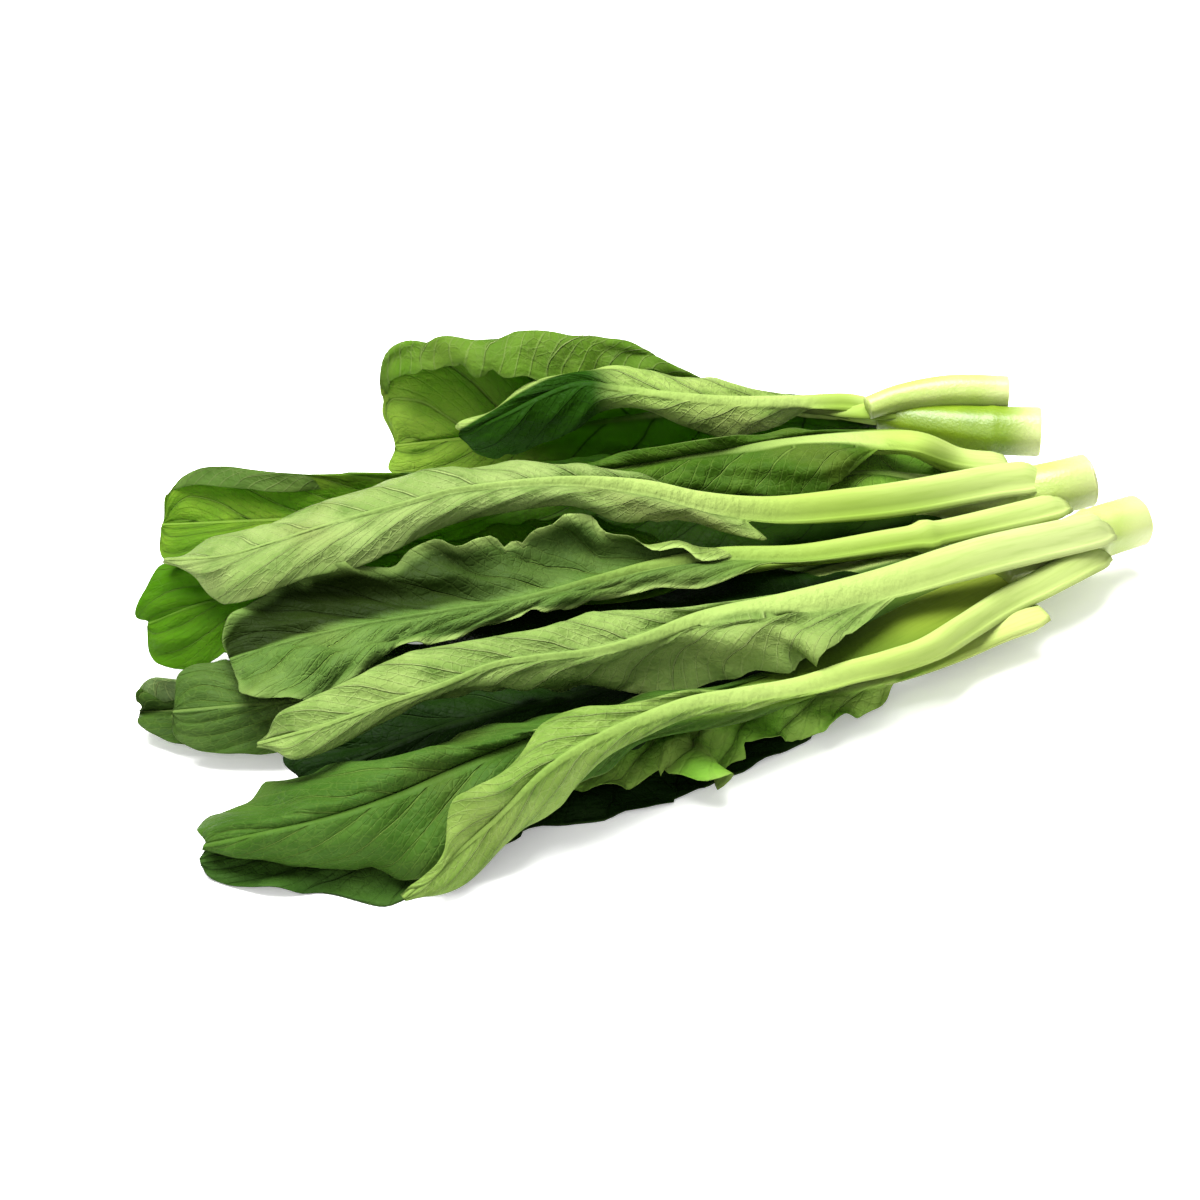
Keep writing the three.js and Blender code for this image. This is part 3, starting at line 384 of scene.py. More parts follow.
            [770, 513, 27], [700, 505, 36], [640, 490, 45], [560, 483, 52], [460, 491, 54],
            [400, 506, 52], [340, 522, 49], [280, 541, 45], [222, 557, 40], [165, 560, 34]],
        near_edge=[[766, 541, 26], [700, 524, 34], [620, 522, 42], [560, 502, 48], [480, 520, 46],
            [420, 537, 44], [380, 556, 42], [300, 582, 38], [230, 602, 33], [192, 574, 33]],
        far_edge=[[660, 495, 32], [560, 488, 32], [445, 490, 32], [370, 512, 32], [300, 535, 30],
            [225, 560, 27]],
        near_bulge=3,
        far_fold=[[660, 479, 44], [560, 467, 50], [450, 466, 52], [400, 481, 50], [340, 499, 46],
            [280, 518, 42], [225, 536, 37], [188, 553, 33]],
        blade_from=0.36,
        rib_depth=[6, 6, 4.5, 1.8, 0.8, 0.4],
        rib_half_width=[6.5, 6.5, 5, 1.7, 0.8, 0.6],
        pale_side_up=True,
    ),
    dict(
        name="front_top_leaf",
        midrib=[[1105, 531, 22], [1060, 541, 25], [980, 559, 28], [880, 586, 31], [780, 607, 34],
            [700, 621, 37], [640, 641, 39], [590, 653, 41], [500, 664, 43], [440, 686, 42],
            [380, 706, 40], [320, 727, 36], [258, 744, 28]],
        near_edge=[[832, 652, 28], [818, 668, 24], [800, 657, 24], [785, 673, 21], [740, 678, 19],
            [680, 690, 18], [600, 692, 19], [520, 688, 24], [450, 693, 29], [380, 720, 31],
            [300, 752, 27]],
        near_fold=[[860, 614, 29], [820, 622, 32], [760, 631, 33], [700, 640, 34], [640, 657, 33],
            [600, 673, 34], [520, 681, 36], [450, 691, 37], [380, 722, 35], [300, 757, 29]],
        far_edge=[[800, 598, 28], [680, 620, 31], [600, 635, 33], [530, 650, 35], [440, 668, 37],
            [380, 685, 37], [300, 715, 34]],
        far_fold=[[800, 590, 33], [700, 607, 39], [600, 613, 44], [525, 632, 46], [440, 648, 47],
            [380, 666, 46], [320, 694, 42], [270, 720, 35]],
        blade_from=0.3,
        rib_depth=[6, 6, 4, 1.8, 0.8, 0.4],
        rib_half_width=[6.5, 7.5, 5.6, 2, 0.9, 0.6],
        pale_side_up=True,
    ),
]


def smooth(value, low, high):
    """0 below low, 1 above high and a soft step between them."""
    t = np.clip((value - low) / (high - low), 0, 1)
    return t * t * (3 - 2 * t)


def unit(vectors):
    return vectors / np.maximum(np.linalg.norm(vectors, axis=-1, keepdims=True), 1e-12)


def view_axes():
    """The camera's place and its forward and upward directions in the view's frame."""
    tilt = math.radians(VIEW_TILT)
    forwards = np.array([0, math.cos(tilt), -math.sin(tilt)])
    upwards = np.array([0, math.sin(tilt), math.cos(tilt)])
    return VIEW_AIM - VIEW_DISTANCE * forwards, forwards, upwards


def seen_at(points):
    """The points at their heights that lie on the camera's rays through their pixels."""
    right, down, height = np.array(points, float).T
    eye, forwards, upwards = view_axes()
    rays = VIEW_SCALE * VIEW_DISTANCE * forwards + (VIEW_MIDDLE - down)[:, None] * upwards
    rays[:, 0] += right - VIEW_MIDDLE
    return eye + rays * ((height - eye[2]) / rays[:, 2])[:, None]


def placed(piece):
    """A stem or leaf of the tables with its lines in millimetres."""
    names = ("path", "midrib", "near_edge", "far_edge", "near_fold", "far_fold")
    return {**piece, **{name: seen_at(piece[name]) for name in names if name in piece}}


def spline(knots, t, before, after):
    """The even Catmull-Rom line through knots at t from 0 to 1, led by a point before and one after."""
    line = np.vstack([before, knots, after])
    place = np.clip(t, 0, 1) * (len(knots) - 1)
    first = np.minimum(place.astype(int), len(knots) - 2)
    f = (place - first)[:, None]
    a, b, c, d = (line[first + k] for k in range(4))
    return (2 * b + (c - a) * f + (2 * a - 5 * b + 4 * c - d) * f**2 + (3 * b - a - 3 * c + d) * f**3) / 2


def line_at(points, shares):
    """Points at shares of the length of the smooth line through a table's points."""
    knots = np.asarray(points, float)
    ends = 2 * knots[0] - knots[1], 2 * knots[-1] - knots[-2]
    fine = spline(knots, np.linspace(0, 1, LINE_DOTS), *ends)
    walked = np.r_[0, np.cumsum(np.linalg.norm(np.diff(fine, axis=0), axis=1))]
    return np.stack([np.interp(shares, walked / walked[-1], fine[:, axis]) for axis in range(3)], 1)


def line_length(points):
    return np.linalg.norm(np.diff(line_at(points, np.linspace(0, 1, LENGTH_DOTS)), axis=0), axis=1).sum()


def direction_at(points, t):
    """The direction of the line through a table's points at t, from a little before to a little after."""
    ahead, behind = np.minimum(1, t + TANGENT_STEP), np.maximum(0, t - TANGENT_STEP)
    return unit(line_at(points, ahead) - line_at(points, behind))


def value_at(values, t):
    """Values spread evenly from 0 to 1, read at t."""
    knots = np.asarray(values, float)[:, None]
    return spline(knots, t, knots[:1], knots[-1:])[:, 0]


def share_along(leaf, u, span):
    return smooth(u, span[0] * leaf["blade_from"], span[1] * leaf["blade_from"])


def steps_across(points):
    """Steps along each row of a grid of points, over both neighbours except at the row's ends."""
    steps = np.empty_like(points)
    steps[:, 1:-1] = points[:, 2:] - points[:, :-2]
    steps[:, 0], steps[:, -1] = points[:, 1] - points[:, 0], points[:, -1] - points[:, -2]
    return steps


def grid_normals(points):
    """Directions square to a grid of points: the cross product of the steps along its rows and columns."""
    steps_along = steps_across(points.swapaxes(0, 1)).swapaxes(0, 1)
    return unit(np.cross(steps_across(points), steps_along))


def blade_half(leaf, u, share, midrib, sideways, half_width, side):
    """One half of a blade, row by row: where it leaves the rib, the line halfway out, and its edge."""
    name = "near" if side < 0 else "far"
    beside = midrib + side * (half_width + RIB_MARGIN)[:, None] * sideways
    first = beside[np.argmax(share > 0)]
    root = midrib + side * half_width[:, None] * sideways
    edge_line = np.vstack([first, leaf[name + "_edge"], beside[-1]])
    rim = np.where(share[:, None] > 0, line_at(edge_line, share), beside)
    grown = smooth(share, 0, BLADE_GROWS) * smooth(1 - share, 0, BLADE_FADES)
    halfway = (root + rim) / 2
    if name + "_fold" in leaf:
        fold = line_at(np.vstack([first, leaf[name + "_fold"], beside[-1]]), share)
        return root, halfway + (fold - halfway) * grown[:, None], rim
    upwards = side * unit(np.cross(rim - root, direction_at(leaf["midrib"], u)))
    return root, halfway + upwards * (leaf[name + "_bulge"] * grown)[:, None], rim


def ripple(rng, lengths, walk, side):
    """Sines of several lengths along an edge, the shorter the lower, with a chance phase on each side."""
    total = np.zeros(np.broadcast(walk, side).shape)
    for length in lengths:
        phases = rng.uniform(0, 2 * math.pi, 2)
        phase = np.where(side < 0, phases[0], phases[1])
        total += length / lengths[0] * np.sin(2 * math.pi * walk / length + phase)
    return total


def tears(rng, walk, side, length):
    """How far narrow tears at chance places draw each edge in: each one is a bell curve along the edge."""
    total = np.zeros(np.broadcast(walk, side).shape)
    for _ in range(TEARS):
        places = rng.uniform(*TEAR_PLACES, 2) * length
        place = np.where(side < 0, places[0], places[1])
        total += rng.uniform(*TEAR_SIZES) * np.exp(-(((walk - place) / TEAR_WIDTH) ** 2))
    return total * TEAR_DEPTH


def swell(rng, walk, out, side):
    """Slow sines along a blade, whose phase shifts by a chance amount on the way out."""
    total = np.zeros(np.broadcast(walk, out).shape)
    for length in SWELL_WAVES:
        slant, phase = rng.uniform(-SWELL_SLANT, SWELL_SLANT), rng.uniform(0, 2 * math.pi)
        turns = walk / length + slant * out * side
        total += length / SWELL_WAVES[0] * np.sin(2 * math.pi * turns + phase)
    return total


def leaf_sheet(leaf, grid, fine=False):
    """A leaf's middle surface on a grid, from its base to its tip and from its near edge to its far edge.

    In each row the blade leaves the rib's side on a smooth line through a halfway point to the edge:
    root (1 - q)(1 - 2q) + halfway 4q(1 - q) + edge q(2q - 1), with q the share of the way out.
    """
    u = 1 - (1 - np.linspace(0, 1, grid["rows"] + 1)) ** ROW_CROWDING
    share = np.clip((u - leaf["blade_from"]) / (1 - leaf["blade_from"]), 0, 1)
    midrib = line_at(leaf["midrib"], u)
    sideways = unit(np.cross(direction_at(leaf["midrib"], u), [0, 0, 1.0]))
    half_width = value_at(leaf["rib_half_width"], u)
    depth = value_at(leaf["rib_depth"], u)
    if fine:
        rounded = smooth(u, 0, BASE_ROUND)
        half_width = half_width * (BASE_HALF_WIDTH + (1 - BASE_HALF_WIDTH) * rounded)
        depth = depth * (BASE_DEPTH + (1 - BASE_DEPTH) * rounded)
    if fine and leaf["name"] in PETIOLE_RINGS:
        place, height, width = PETIOLE_RINGS[leaf["name"]]
        swollen = height * np.exp(-(((u - place) / width) ** 2))
        half_width, depth = half_width + swollen, depth + swollen
    grown = smooth(share, 0, BLADE_GROWS) * smooth(1 - share, 0, BLADE_FADES)

    q = np.linspace(0, 1, grid["blade"] + 1)[1:]
    rib = np.linspace(-1, 1, 2 * grid["rib"] + 1)
    out = np.concatenate([q[::-1], np.zeros(len(rib)), q])
    across = np.concatenate([-np.ones(len(q)), rib, np.ones(len(q))])
    side = np.sign(across)

    def surface(places, half):
        root, halfway, rim = (line[:, None] for line in half)
        p = places[None, :, None]
        return root * (1 - p) * (1 - 2 * p) + halfway * 4 * p * (1 - p) + rim * p * (2 * p - 1)

    halves = {s: blade_half(leaf, u, share, midrib, sideways, half_width, s) for s in (-1, 1)}
    middle = midrib[:, None] + (rib[None, :, None] * half_width[:, None, None]) * sideways[:, None]
    points = np.concatenate([surface(q[::-1], halves[-1]), middle, surface(q, halves[1])], axis=1)
    normals = grid_normals(points)
    height, count = leaf["wave"]
    turn = 2 * math.pi * (count * share[:, None] + WAVE_OFFSET * side[None])
    points += normals * (height * grown[:, None] * out[None] ** 2 * np.sin(turn))[..., None]

    sheet = {"u": u, "share": share, "out": out, "side": side}
    sheet["length"] = line_length(leaf["midrib"]) * (1 - leaf["blade_from"])
    if fine:
        add_fine_forms(leaf, sheet, points, normals, grown)
    sheet["points"] = points
    sheet["normals"] = grid_normals(points)
    sheet["half_width"] = half_width
    rim = PETIOLE_RIM + (BLADE - PETIOLE_RIM) * share_along(leaf, u, THINNING)
    round_rib = 1 - across**2 if fine else np.sqrt(np.maximum(0, 1 - across**2))
    edge = np.sqrt(1 - (EDGE_ROUND * out) ** 2) if fine else np.ones(len(out))
    deep = rim[:, None] / 2 * edge[None] + depth[:, None] * round_rib[None]
    flat = rim[:, None] / 2 * edge[None] + leaf["rib_crown"] * depth[:, None] * round_rib[None]
    sheet["above"], sheet["below"] = (deep, flat) if leaf["pale_side_up"] else (flat, deep)
    return sheet


def vein_phase(share, out, side, length):
    """Whole numbers of this lie on the side veins: it grows along the blade and falls on the way out."""
    curve = VEIN_SLANT * out**VEIN_CURVE
    return (share - curve) * length / VEIN_SPACING + np.where(side < 0, NEAR_VEINS, 0)


def add_fine_forms(leaf, sheet, points, normals, grown):
    """Moves a blade's points by what is too fine for the solids.

    Along the normals: a bell curve across each side vein, slow swells, and ruffles that grow to the edge.
    Along the rows: the edge's strays less its tears. All of it fades where the blade is narrow.
    """
    rng = np.random.default_rng(sum(leaf["name"].encode()))
    length = sheet["length"]
    share, out, side = sheet["share"][:, None], sheet["out"][None], sheet["side"][None]
    walk = share * length
    phase = vein_phase(share, out, side, length)
    nearest = np.abs(phase - np.round(phase))
    drawn = np.exp(-((nearest / PUCKER_WIDTH) ** 2)) * smooth(out, 0, PUCKER_GROWS) * (1 - PUCKER_FADES * out)
    centre = points.shape[1] // 2
    breadth = [np.linalg.norm(points[:, edge] - points[:, centre], axis=1)[:, None] for edge in (0, -1)]
    full = smooth(np.where(side < 0, *breadth), *FULL_BREADTH) * grown[:, None]
    full = full * CRUMPLES.get(leaf["name"], 1)
    at_edge = out**EDGE_POWER
    underside = 1 if leaf["pale_side_up"] else -1
    height = underside * PUCKER * drawn
    height += SWELL * swell(rng, walk, out, side) * smooth(out, 0, SWELL_GROWS)
    height += RUFFLE * ripple(rng, RUFFLE_WAVES, walk, side) * at_edge
    points += normals * (height * full)[..., None]
    stray = FRINGE * ripple(rng, FRINGE_WAVES, walk, side) - tears(rng, walk, side, length)
    points += unit(steps_across(points)) * (side * stray * at_edge * full)[..., None]


def face_points(sheet):
    above = sheet["points"] + sheet["normals"] * sheet["above"][..., None]
    below = sheet["points"] - sheet["normals"] * sheet["below"][..., None]
    return above, below


def finer(points, steps):
    """A grid of points with more of them evenly between each two, both ways."""
    for axis in (0, 1):
        places = np.arange((points.shape[axis] - 1) * steps) / steps
        first = places.astype(int)
        f = (places - first).reshape((-1, 1, 1) if axis == 0 else (1, -1, 1))
        points = np.take(points, first, axis) * (1 - f) + np.take(points, first + 1, axis) * f
    return points


def leaf_heights(sheet):
    """The lowest and highest places of a leaf in each cell of the pile."""
    low, high = np.full(PILE_SHAPE, np.inf), np.full(PILE_SHAPE, -np.inf)
    for face in face_points(sheet):
        dots = finer(face, PILE_STEPS)
        column = np.clip(((dots[..., 0] - PILE_WEST) // PILE_CELL).astype(int), 0, PILE_SHAPE[0] - 1)
        row = np.clip(((dots[..., 1] - PILE_SOUTH) // PILE_CELL).astype(int), 0, PILE_SHAPE[1] - 1)
        np.minimum.at(low, (column, row), dots[..., 2])
        np.maximum.at(high, (column, row), dots[..., 2])
    return low, high


def over_neighbours(field, reach, combine):
    """Each cell combined with its neighbours as far as reach, along each side of the grid in turn."""
    for axis in (0, 1):
        count = field.shape[axis]
        places = [np.clip(np.arange(count) + k, 0, count - 1) for k in range(-reach, reach + 1)]
        field = combine(np.stack([np.take(field, place, axis) for place in places]), axis=0)
    return field


def field_at(field, points):
    """A field's value at each place, blended smoothly from the nine cells round it.

    With f from the middle of a place's own cell, the three shares along each side of the grid are
    (1/2 - f)^2 / 2, 3/4 - f^2 and (1/2 + f)^2 / 2.
    """
    x = np.clip((points[..., 0] - PILE_WEST) / PILE_CELL - 0.5, 1, PILE_SHAPE[0] - 2)
    y = np.clip((points[..., 1] - PILE_SOUTH) / PILE_CELL - 0.5, 1, PILE_SHAPE[1] - 2)
    i, j = np.round(x).astype(int), np.round(y).astype(int)
    shares = [((0.5 - f) ** 2 / 2, 0.75 - f**2, (0.5 + f) ** 2 / 2) for f in (x - i, y - j)]
    total = 0
    for a in range(3):
        for b in range(3):
            total = total + shares[0][a] * shares[1][b] * field[i + a - 1, j + b - 1]
    return total


def lift(sheet, leaf, field):
    """Lifts a leaf by a field, less and less towards its petiole's base.

    Each point rises on its ray to the camera, so that the leaf keeps its place in the view.
    """
    rise = field_at(field, sheet["points"]) * share_along(leaf, sheet["u"], LIFTING)[:, None]
    rays = view_axes()[0] - sheet["points"]
    sheet["points"] += rays * (rise / rays[..., 2])[..., None]
    sheet["normals"] = grid_normals(sheet["points"])


def needed_lift(sheet, pile):
    """How far a leaf has to rise to lie clear of the pile, spread over the neighbouring cells and evened."""
    low, _ = leaf_heights(sheet)
    covered = (pile > 0) & (low < np.inf)
    needed = np.where(covered, pile + PILE_GAP - np.where(covered, low, 0), 0)
    spread = np.maximum(over_neighbours(needed, LIFT_REACH, np.max), 0)
    return over_neighbours(over_neighbours(spread, LIFT_SOFTEN, np.mean), LIFT_SOFTEN, np.mean)


def lay_pile(leaves):
    """The lifts that lay every leaf clear of the leaves under it, in the order of the table."""
    pile = np.zeros(PILE_SHAPE)
    lifts = []
    for leaf in leaves:
        sheet = leaf_sheet(leaf, PILE_GRID)
        fields = []
        for _ in range(LIFT_ROUNDS if leaf["laid"] else 0):
            fields.append(needed_lift(sheet, pile))
            lift(sheet, leaf, fields[-1])
        _, high = leaf_heights(sheet)
        pile = np.maximum(pile, high)
        lifts.append(fields)
    return lifts


def turned(points):
    """Points of the view's frame, turned to the bunch's and in metres."""
    turn = Matrix.Rotation(math.radians(BUNCH_TURN), 3, "Z")
    return np.asarray(points) @ np.array(turn).T * MM


def stem_rings(stem, grid):
    """Rings round a stem's line, each with its radius read along the stem."""
    t = np.linspace(0, 1, grid["rows"] + 1)
    middle = line_at(stem["path"], t)
    along = direction_at(stem["path"], t)
    sideways = unit(np.cross(along, [0, 0, 1.0]))
    upwards = np.cross(sideways, along)
    radius = value_at(stem["radius"], t)
    angle = math.pi * (1 - 2 * np.arange(grid["sides"]) / grid["sides"])
    spoke = sideways[:, None] * np.cos(angle)[None, :, None] + upwards[:, None] * np.sin(angle)[None, :, None]
    return middle, spoke, radius, t


def bunch_shift():
    """Where the solids' frame has its origin: the plain front stem is set against its CAD node's box."""
    middle, spoke, radius, _ = stem_rings(placed(STEMS[0]), CAD_STEM_GRID)
    points = turned(middle[:, None] + spoke * radius[:, None, None]).reshape(-1, 3)
    low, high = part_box("front_stem")
    return (np.array(low) + np.array(high) - points.min(0) - points.max(0)) / 2


def skin_mesh(name, rings, values):
    """A closed mesh over rings of points: quads between neighbouring rings, and a fan over each end.

    values are named arrays, one number or one vector for each ring point.
    """
    rows, count = rings.shape[:2]
    ring, place = np.meshgrid(np.arange(rows - 1), np.arange(count), indexing="ij")
    after = (place + 1) % count
    quads = np.stack([ring * count + place, ring * count + after, (ring + 1) * count + after,
                      (ring + 1) * count + place], -1).reshape(-1, 4)
    j = np.arange(count)
    k = (j + 1) % count
    first, last, end = rows * count, rows * count + 1, (rows - 1) * count
    fans = np.vstack([np.stack([first + 0 * j, k, j], 1), np.stack([last + 0 * j, end + j, end + k], 1)])
    centres = np.stack([rings[0].mean(0), rings[-1].mean(0)])
    points = np.vstack([rings.reshape(-1, 3), centres])
    mesh = bpy.data.meshes.new(name)
    mesh.from_pydata((turned(points) + SHIFT).tolist(), [], quads.tolist() + fans.tolist())
    mesh.polygons.foreach_set("use_smooth", np.ones(len(mesh.polygons), bool))
    for label, value in values.items():
        value = value.reshape(rows, count, -1)
        full = np.vstack([value.reshape(rows * count, -1), value[0].mean(0), value[-1].mean(0)])
        kind, field = ("FLOAT_VECTOR", "vector") if full.shape[1] == 3 else ("FLOAT", "value")
        mesh.attributes.new(label, kind, "POINT").data.foreach_set(field, full.astype(np.float32).ravel())
    mesh.update()
    return mesh


def add_object(name, data):
    piece = bpy.data.objects.new(name, data)
    bpy.context.scene.collection.objects.link(piece)
    return piece


def place_piece(name, mesh, material, node):
    """A finished piece that stands for its CAD node and lies with the bunch."""
    mesh.materials.append(material)
    piece = add_object(name, mesh)
    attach(piece, "root")
    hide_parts(node)


def round_the_ring(above, below, near, far):
    """Ring values: the upper face from near to far, the far rim, the lower face back, the near rim."""
    return np.concatenate([above, far[:, None], below[:, ::-1], near[:, None]], axis=1)


def make_leaf(leaf, lifts):
    """A leaf as closed rings over its upper face and back under it, pressed flat where it meets the floor."""
    sheet = leaf_sheet(leaf, LEAF_GRID, fine=True)
    for field in lifts:
        lift(sheet, leaf, field)
    above, below = face_points(sheet)
    above[..., 2] = np.maximum(above[..., 2], FLOOR_BLADE)
    below[..., 2] = np.maximum(below[..., 2], 0)
    points = sheet["points"]
    near_out, far_out = unit(points[:, 0] - points[:, 1]), unit(points[:, -1] - points[:, -2])
    near_rim = (above[:, 0] + below[:, 0]) / 2 + near_out * sheet["above"][:, :1]
    far_rim = (above[:, -1] + below[:, -1]) / 2 + far_out * sheet["above"][:, -1:]
    for rim in (near_rim, far_rim):
        rim[:, 2] = np.maximum(rim[:, 2], RIM_FLOOR)
    rings = round_the_ring(above, below, near_rim, far_rim)

    step = np.linalg.norm(np.diff(points, axis=1), axis=2)
    walked = np.concatenate([np.zeros((len(points), 1)), np.cumsum(step, axis=1)], axis=1)
    centre = points.shape[1] // 2
    from_rib = walked - walked[:, centre:centre + 1]
    length = line_length(leaf["midrib"])
    along = np.broadcast_to((sheet["u"] * length)[:, None], from_rib.shape)
    spread = np.stack([along, from_rib, np.zeros_like(from_rib)], -1)
    rows = np.ones((len(points), 1))
    out, side = sheet["out"][None] * rows, sheet["side"][None] * rows
    per_point = {
        "share": sheet["share"][:, None] + 0 * out,
        "petiole": 1 - share_along(leaf, sheet["u"], PETIOLE_FADES)[:, None] + 0 * out,
        "start": np.clip(sheet["u"] / leaf["blade_from"], 0, 1)[:, None] + 0 * out,
        "out": out,
        "across": out * side,
        "vein": vein_phase(sheet["share"][:, None], out, side, sheet["length"]),
        "rib": np.abs(from_rib) / sheet["half_width"][:, None],
        "lean": from_rib / sheet["half_width"][:, None],
        "spread": spread,
    }
    values = {key: round_the_ring(v, v, v[:, 0], v[:, -1]) for key, v in per_point.items()}
    flat = np.zeros_like(out)
    top = flat + (0 if leaf["pale_side_up"] else 1)
    values["upper"] = round_the_ring(top, 1 - top, flat[:, 0] + 0.5, flat[:, -1] + 0.5)
    mesh = skin_mesh(leaf["name"], rings, values)
    place_piece(leaf["name"] + "_skin", mesh, leaf_finish(leaf), leaf["name"])


def make_stem(stem):
    """A stem with the rings of its old leaf bases, cut square, the cut's rim a little rounded."""
    middle, spoke, radius, t = stem_rings(stem, STEM_GRID)
    for place, height, width in stem["nodes"]:
        radius = radius + height * np.exp(-(((t - place) / width) ** 2))
    angle = 2 * math.pi * np.arange(STEM_GRID["sides"]) / STEM_GRID["sides"]
    furrow = 1 + STEM_FURROW * np.sin(STEM_FURROWS * angle)[None] * np.ones_like(t)[:, None]
    rings = middle[:, None] + spoke * (radius[:, None] * furrow)[..., None]
    steps = np.array(CUT_FACE)[:, None, None]
    at_cut, behind_cut = line_at(stem["path"], np.array([0, CUT_STEP]))
    inwards = unit(behind_cut - at_cut)
    cut = middle[0] + (rings[0] - middle[0])[None] * steps
    cut = cut + inwards * (CUT_DISH * (1 - steps))
    drawn_back = np.exp(-t / CUT_BLEND)[:, None, None] * CUT_ROUND
    rings = np.concatenate([cut, rings + inwards * drawn_back])
    on_cut, on_skin = np.ones(len(CUT_FACE)), np.ones(len(t))
    per_ring = {
        "cut": np.concatenate([on_cut, 0 * on_skin]),
        "radial": np.concatenate([CUT_FACE, on_skin]),
        "walk": np.concatenate([0 * on_cut, t]),
    }
    values = {key: value[:, None] * np.ones(len(angle)) for key, value in per_ring.items()}
    mesh = skin_mesh(stem["name"], rings, values)
    place_piece(stem["name"] + "_skin", mesh, stem_finish(stem), stem["name"])


def paint(red, green, blue, open_light=OPEN_LIGHT):
    """The paint, as linear light, that shows as a colour from 0 to 255 in the open light."""
    parts = [c / 255 for c in (red, green, blue)]
    lights = [c / 12.92 if c <= 0.04045 else ((c + 0.055) / 1.055) ** 2.4 for c in parts]
    return tuple(light / open_light for light in lights) + (1.0,)


def painted(tones):
    """Tones with every colour as its paint."""
    return {key: paint(*tone) if isinstance(tone, tuple) else tone for key, tone in tones.items()}


class Amount:
    """A number that varies over a surface. Its arithmetic adds Math nodes to the graph."""

    def __init__(self, graph, socket):
        self.graph, self.socket = graph, socket

    def __add__(self, other):
        return self.graph.maths("ADD", self, other)

    def __sub__(self, other):
        return self.graph.maths("SUBTRACT", self, other)

    def __rsub__(self, other):
        return self.graph.maths("SUBTRACT", other, self)

    def __mul__(self, other):
        return self.graph.maths("MULTIPLY", self, other)

    __radd__ = __add__
    __rmul__ = __mul__


class Graph:
    """The nodes of a material or of the surroundings, added one by one."""

    def __init__(self, holder):
        self.holder = holder
        holder.use_nodes = True
        self.tree = holder.node_tree
        self.tree.nodes.clear()

    def node(self, kind, settings=(), inputs=()):
        """A node of a type with its settings and the values or links of its sockets."""
        node = self.tree.nodes.new(kind)
        for key, value in dict(settings).items():
            setattr(node, key, value)
        for key, value in dict(inputs).items():
            if isinstance(value, Amount):
                value = value.socket
            if isinstance(value, bpy.types.NodeSocket):
                self.tree.links.new(value, node.inputs[key])
            else:
                node.inputs[key].default_value = value
        return node

    def maths(self, operation, *values):
        node = self.node("ShaderNodeMath", {"operation": operation}, enumerate(values))
        return Amount(self, node.outputs[0])

    def read(self, name):
        """A number that the mesh carries at its points."""
        return Amount(self, self.node("ShaderNodeAttribute", {"attribute_name": name}).outputs["Fac"])

    def step(self, value, low, high):
        """0 at low and 1 at high with a soft step between them; low may be the greater."""
        inputs = {"Value": value, "From Min": low, "From Max": high}
        node = self.node("ShaderNodeMapRange", {"interpolation_type": "SMOOTHSTEP"}, inputs)
        return Amount(self, node.outputs["Result"])

    def blend(self, share, first, second):
        """The first colour at share 0 and the second at share 1."""
        node = self.node("ShaderNodeMix", {"data_type": "RGBA"}, {0: share, 6: first, 7: second})
        return node.outputs[2]

    def noise(self, place, scale, detail, roughness=0.55):
        inputs = {"Vector": place, "Scale": scale, "Detail": detail, "Roughness": roughness}
        return Amount(self, self.node("ShaderNodeTexNoise", {}, inputs).outputs["Fac"])

    def cell_edges(self, place, scale):
        """How far a place is from the borders of the cells of a net."""
        settings, inputs = {"feature": "DISTANCE_TO_EDGE"}, {"Vector": place, "Scale": scale}
        return Amount(self, self.node("ShaderNodeTexVoronoi", settings, inputs).outputs[0])

    def spread(self):
        """Millimetres along a leaf and out from its rib, as a vector."""
        return self.node("ShaderNodeAttribute", {"attribute_name": "spread"}).outputs["Vector"]

    def bumped(self, height, distance):
        return self.node("ShaderNodeBump", {}, {"Height": height, "Distance": distance}).outputs["Normal"]

    def close(self, shader, output="ShaderNodeOutputMaterial"):
        self.node(output, {}, {"Surface": shader.outputs[0]})
        return self.holder


def leaf_marks(f):
    """What marks a leaf, by name: rib, groove beside it, veins, finer lines, quilting, wrinkles and grain."""
    spread = f.spread()
    share, out, rib = f.read("share"), f.read("out"), f.read("rib")
    strayed = f.read("vein") + (f.noise(spread, STRAY_SCALE, 2) - 0.5) * VEIN_STRAY
    from_vein = f.maths("PINGPONG", strayed, 0.5)
    from_twig = f.maths("PINGPONG", strayed * TWIGS + out * TWIG_SLANT, 0.5)
    width = VEIN_WIDTH - out * VEIN_TAPER
    off_rib = f.step(rib, 0.9, 1.6)
    vein = f.step(from_vein, width, width * 0.2) * f.step(out, 1.0, 0.75) * f.step(share, 0.01, 0.08)
    twig = f.step(from_twig, 0.09, 0.02) * f.step(share, 0.02, 0.1)
    net = f.step(f.cell_edges(spread, NET_SCALE), 0.1, 0.0) * f.step(out, 1.0, 0.8)
    return {
        "off_rib": off_rib,
        "rib": f.step(rib, 1.3, 0.7) * (1 - f.step(share, 0.1, 0.6) * 0.7),
        "groove": f.step(rib, 1.0, 1.5) * f.step(rib, 2.6, 1.7) * f.step(share, 0.0, 0.15),
        "vein": vein * off_rib,
        "lines": (twig * 0.22 + net * 0.14) * off_rib,
        "quilt": f.step(from_vein, 0.0, 0.38) * off_rib,
        "wrinkle": f.noise(spread, WRINKLE_SCALE, 4, 0.6),
        "grain": f.noise(spread, GRAIN_SCALE, 3),
    }


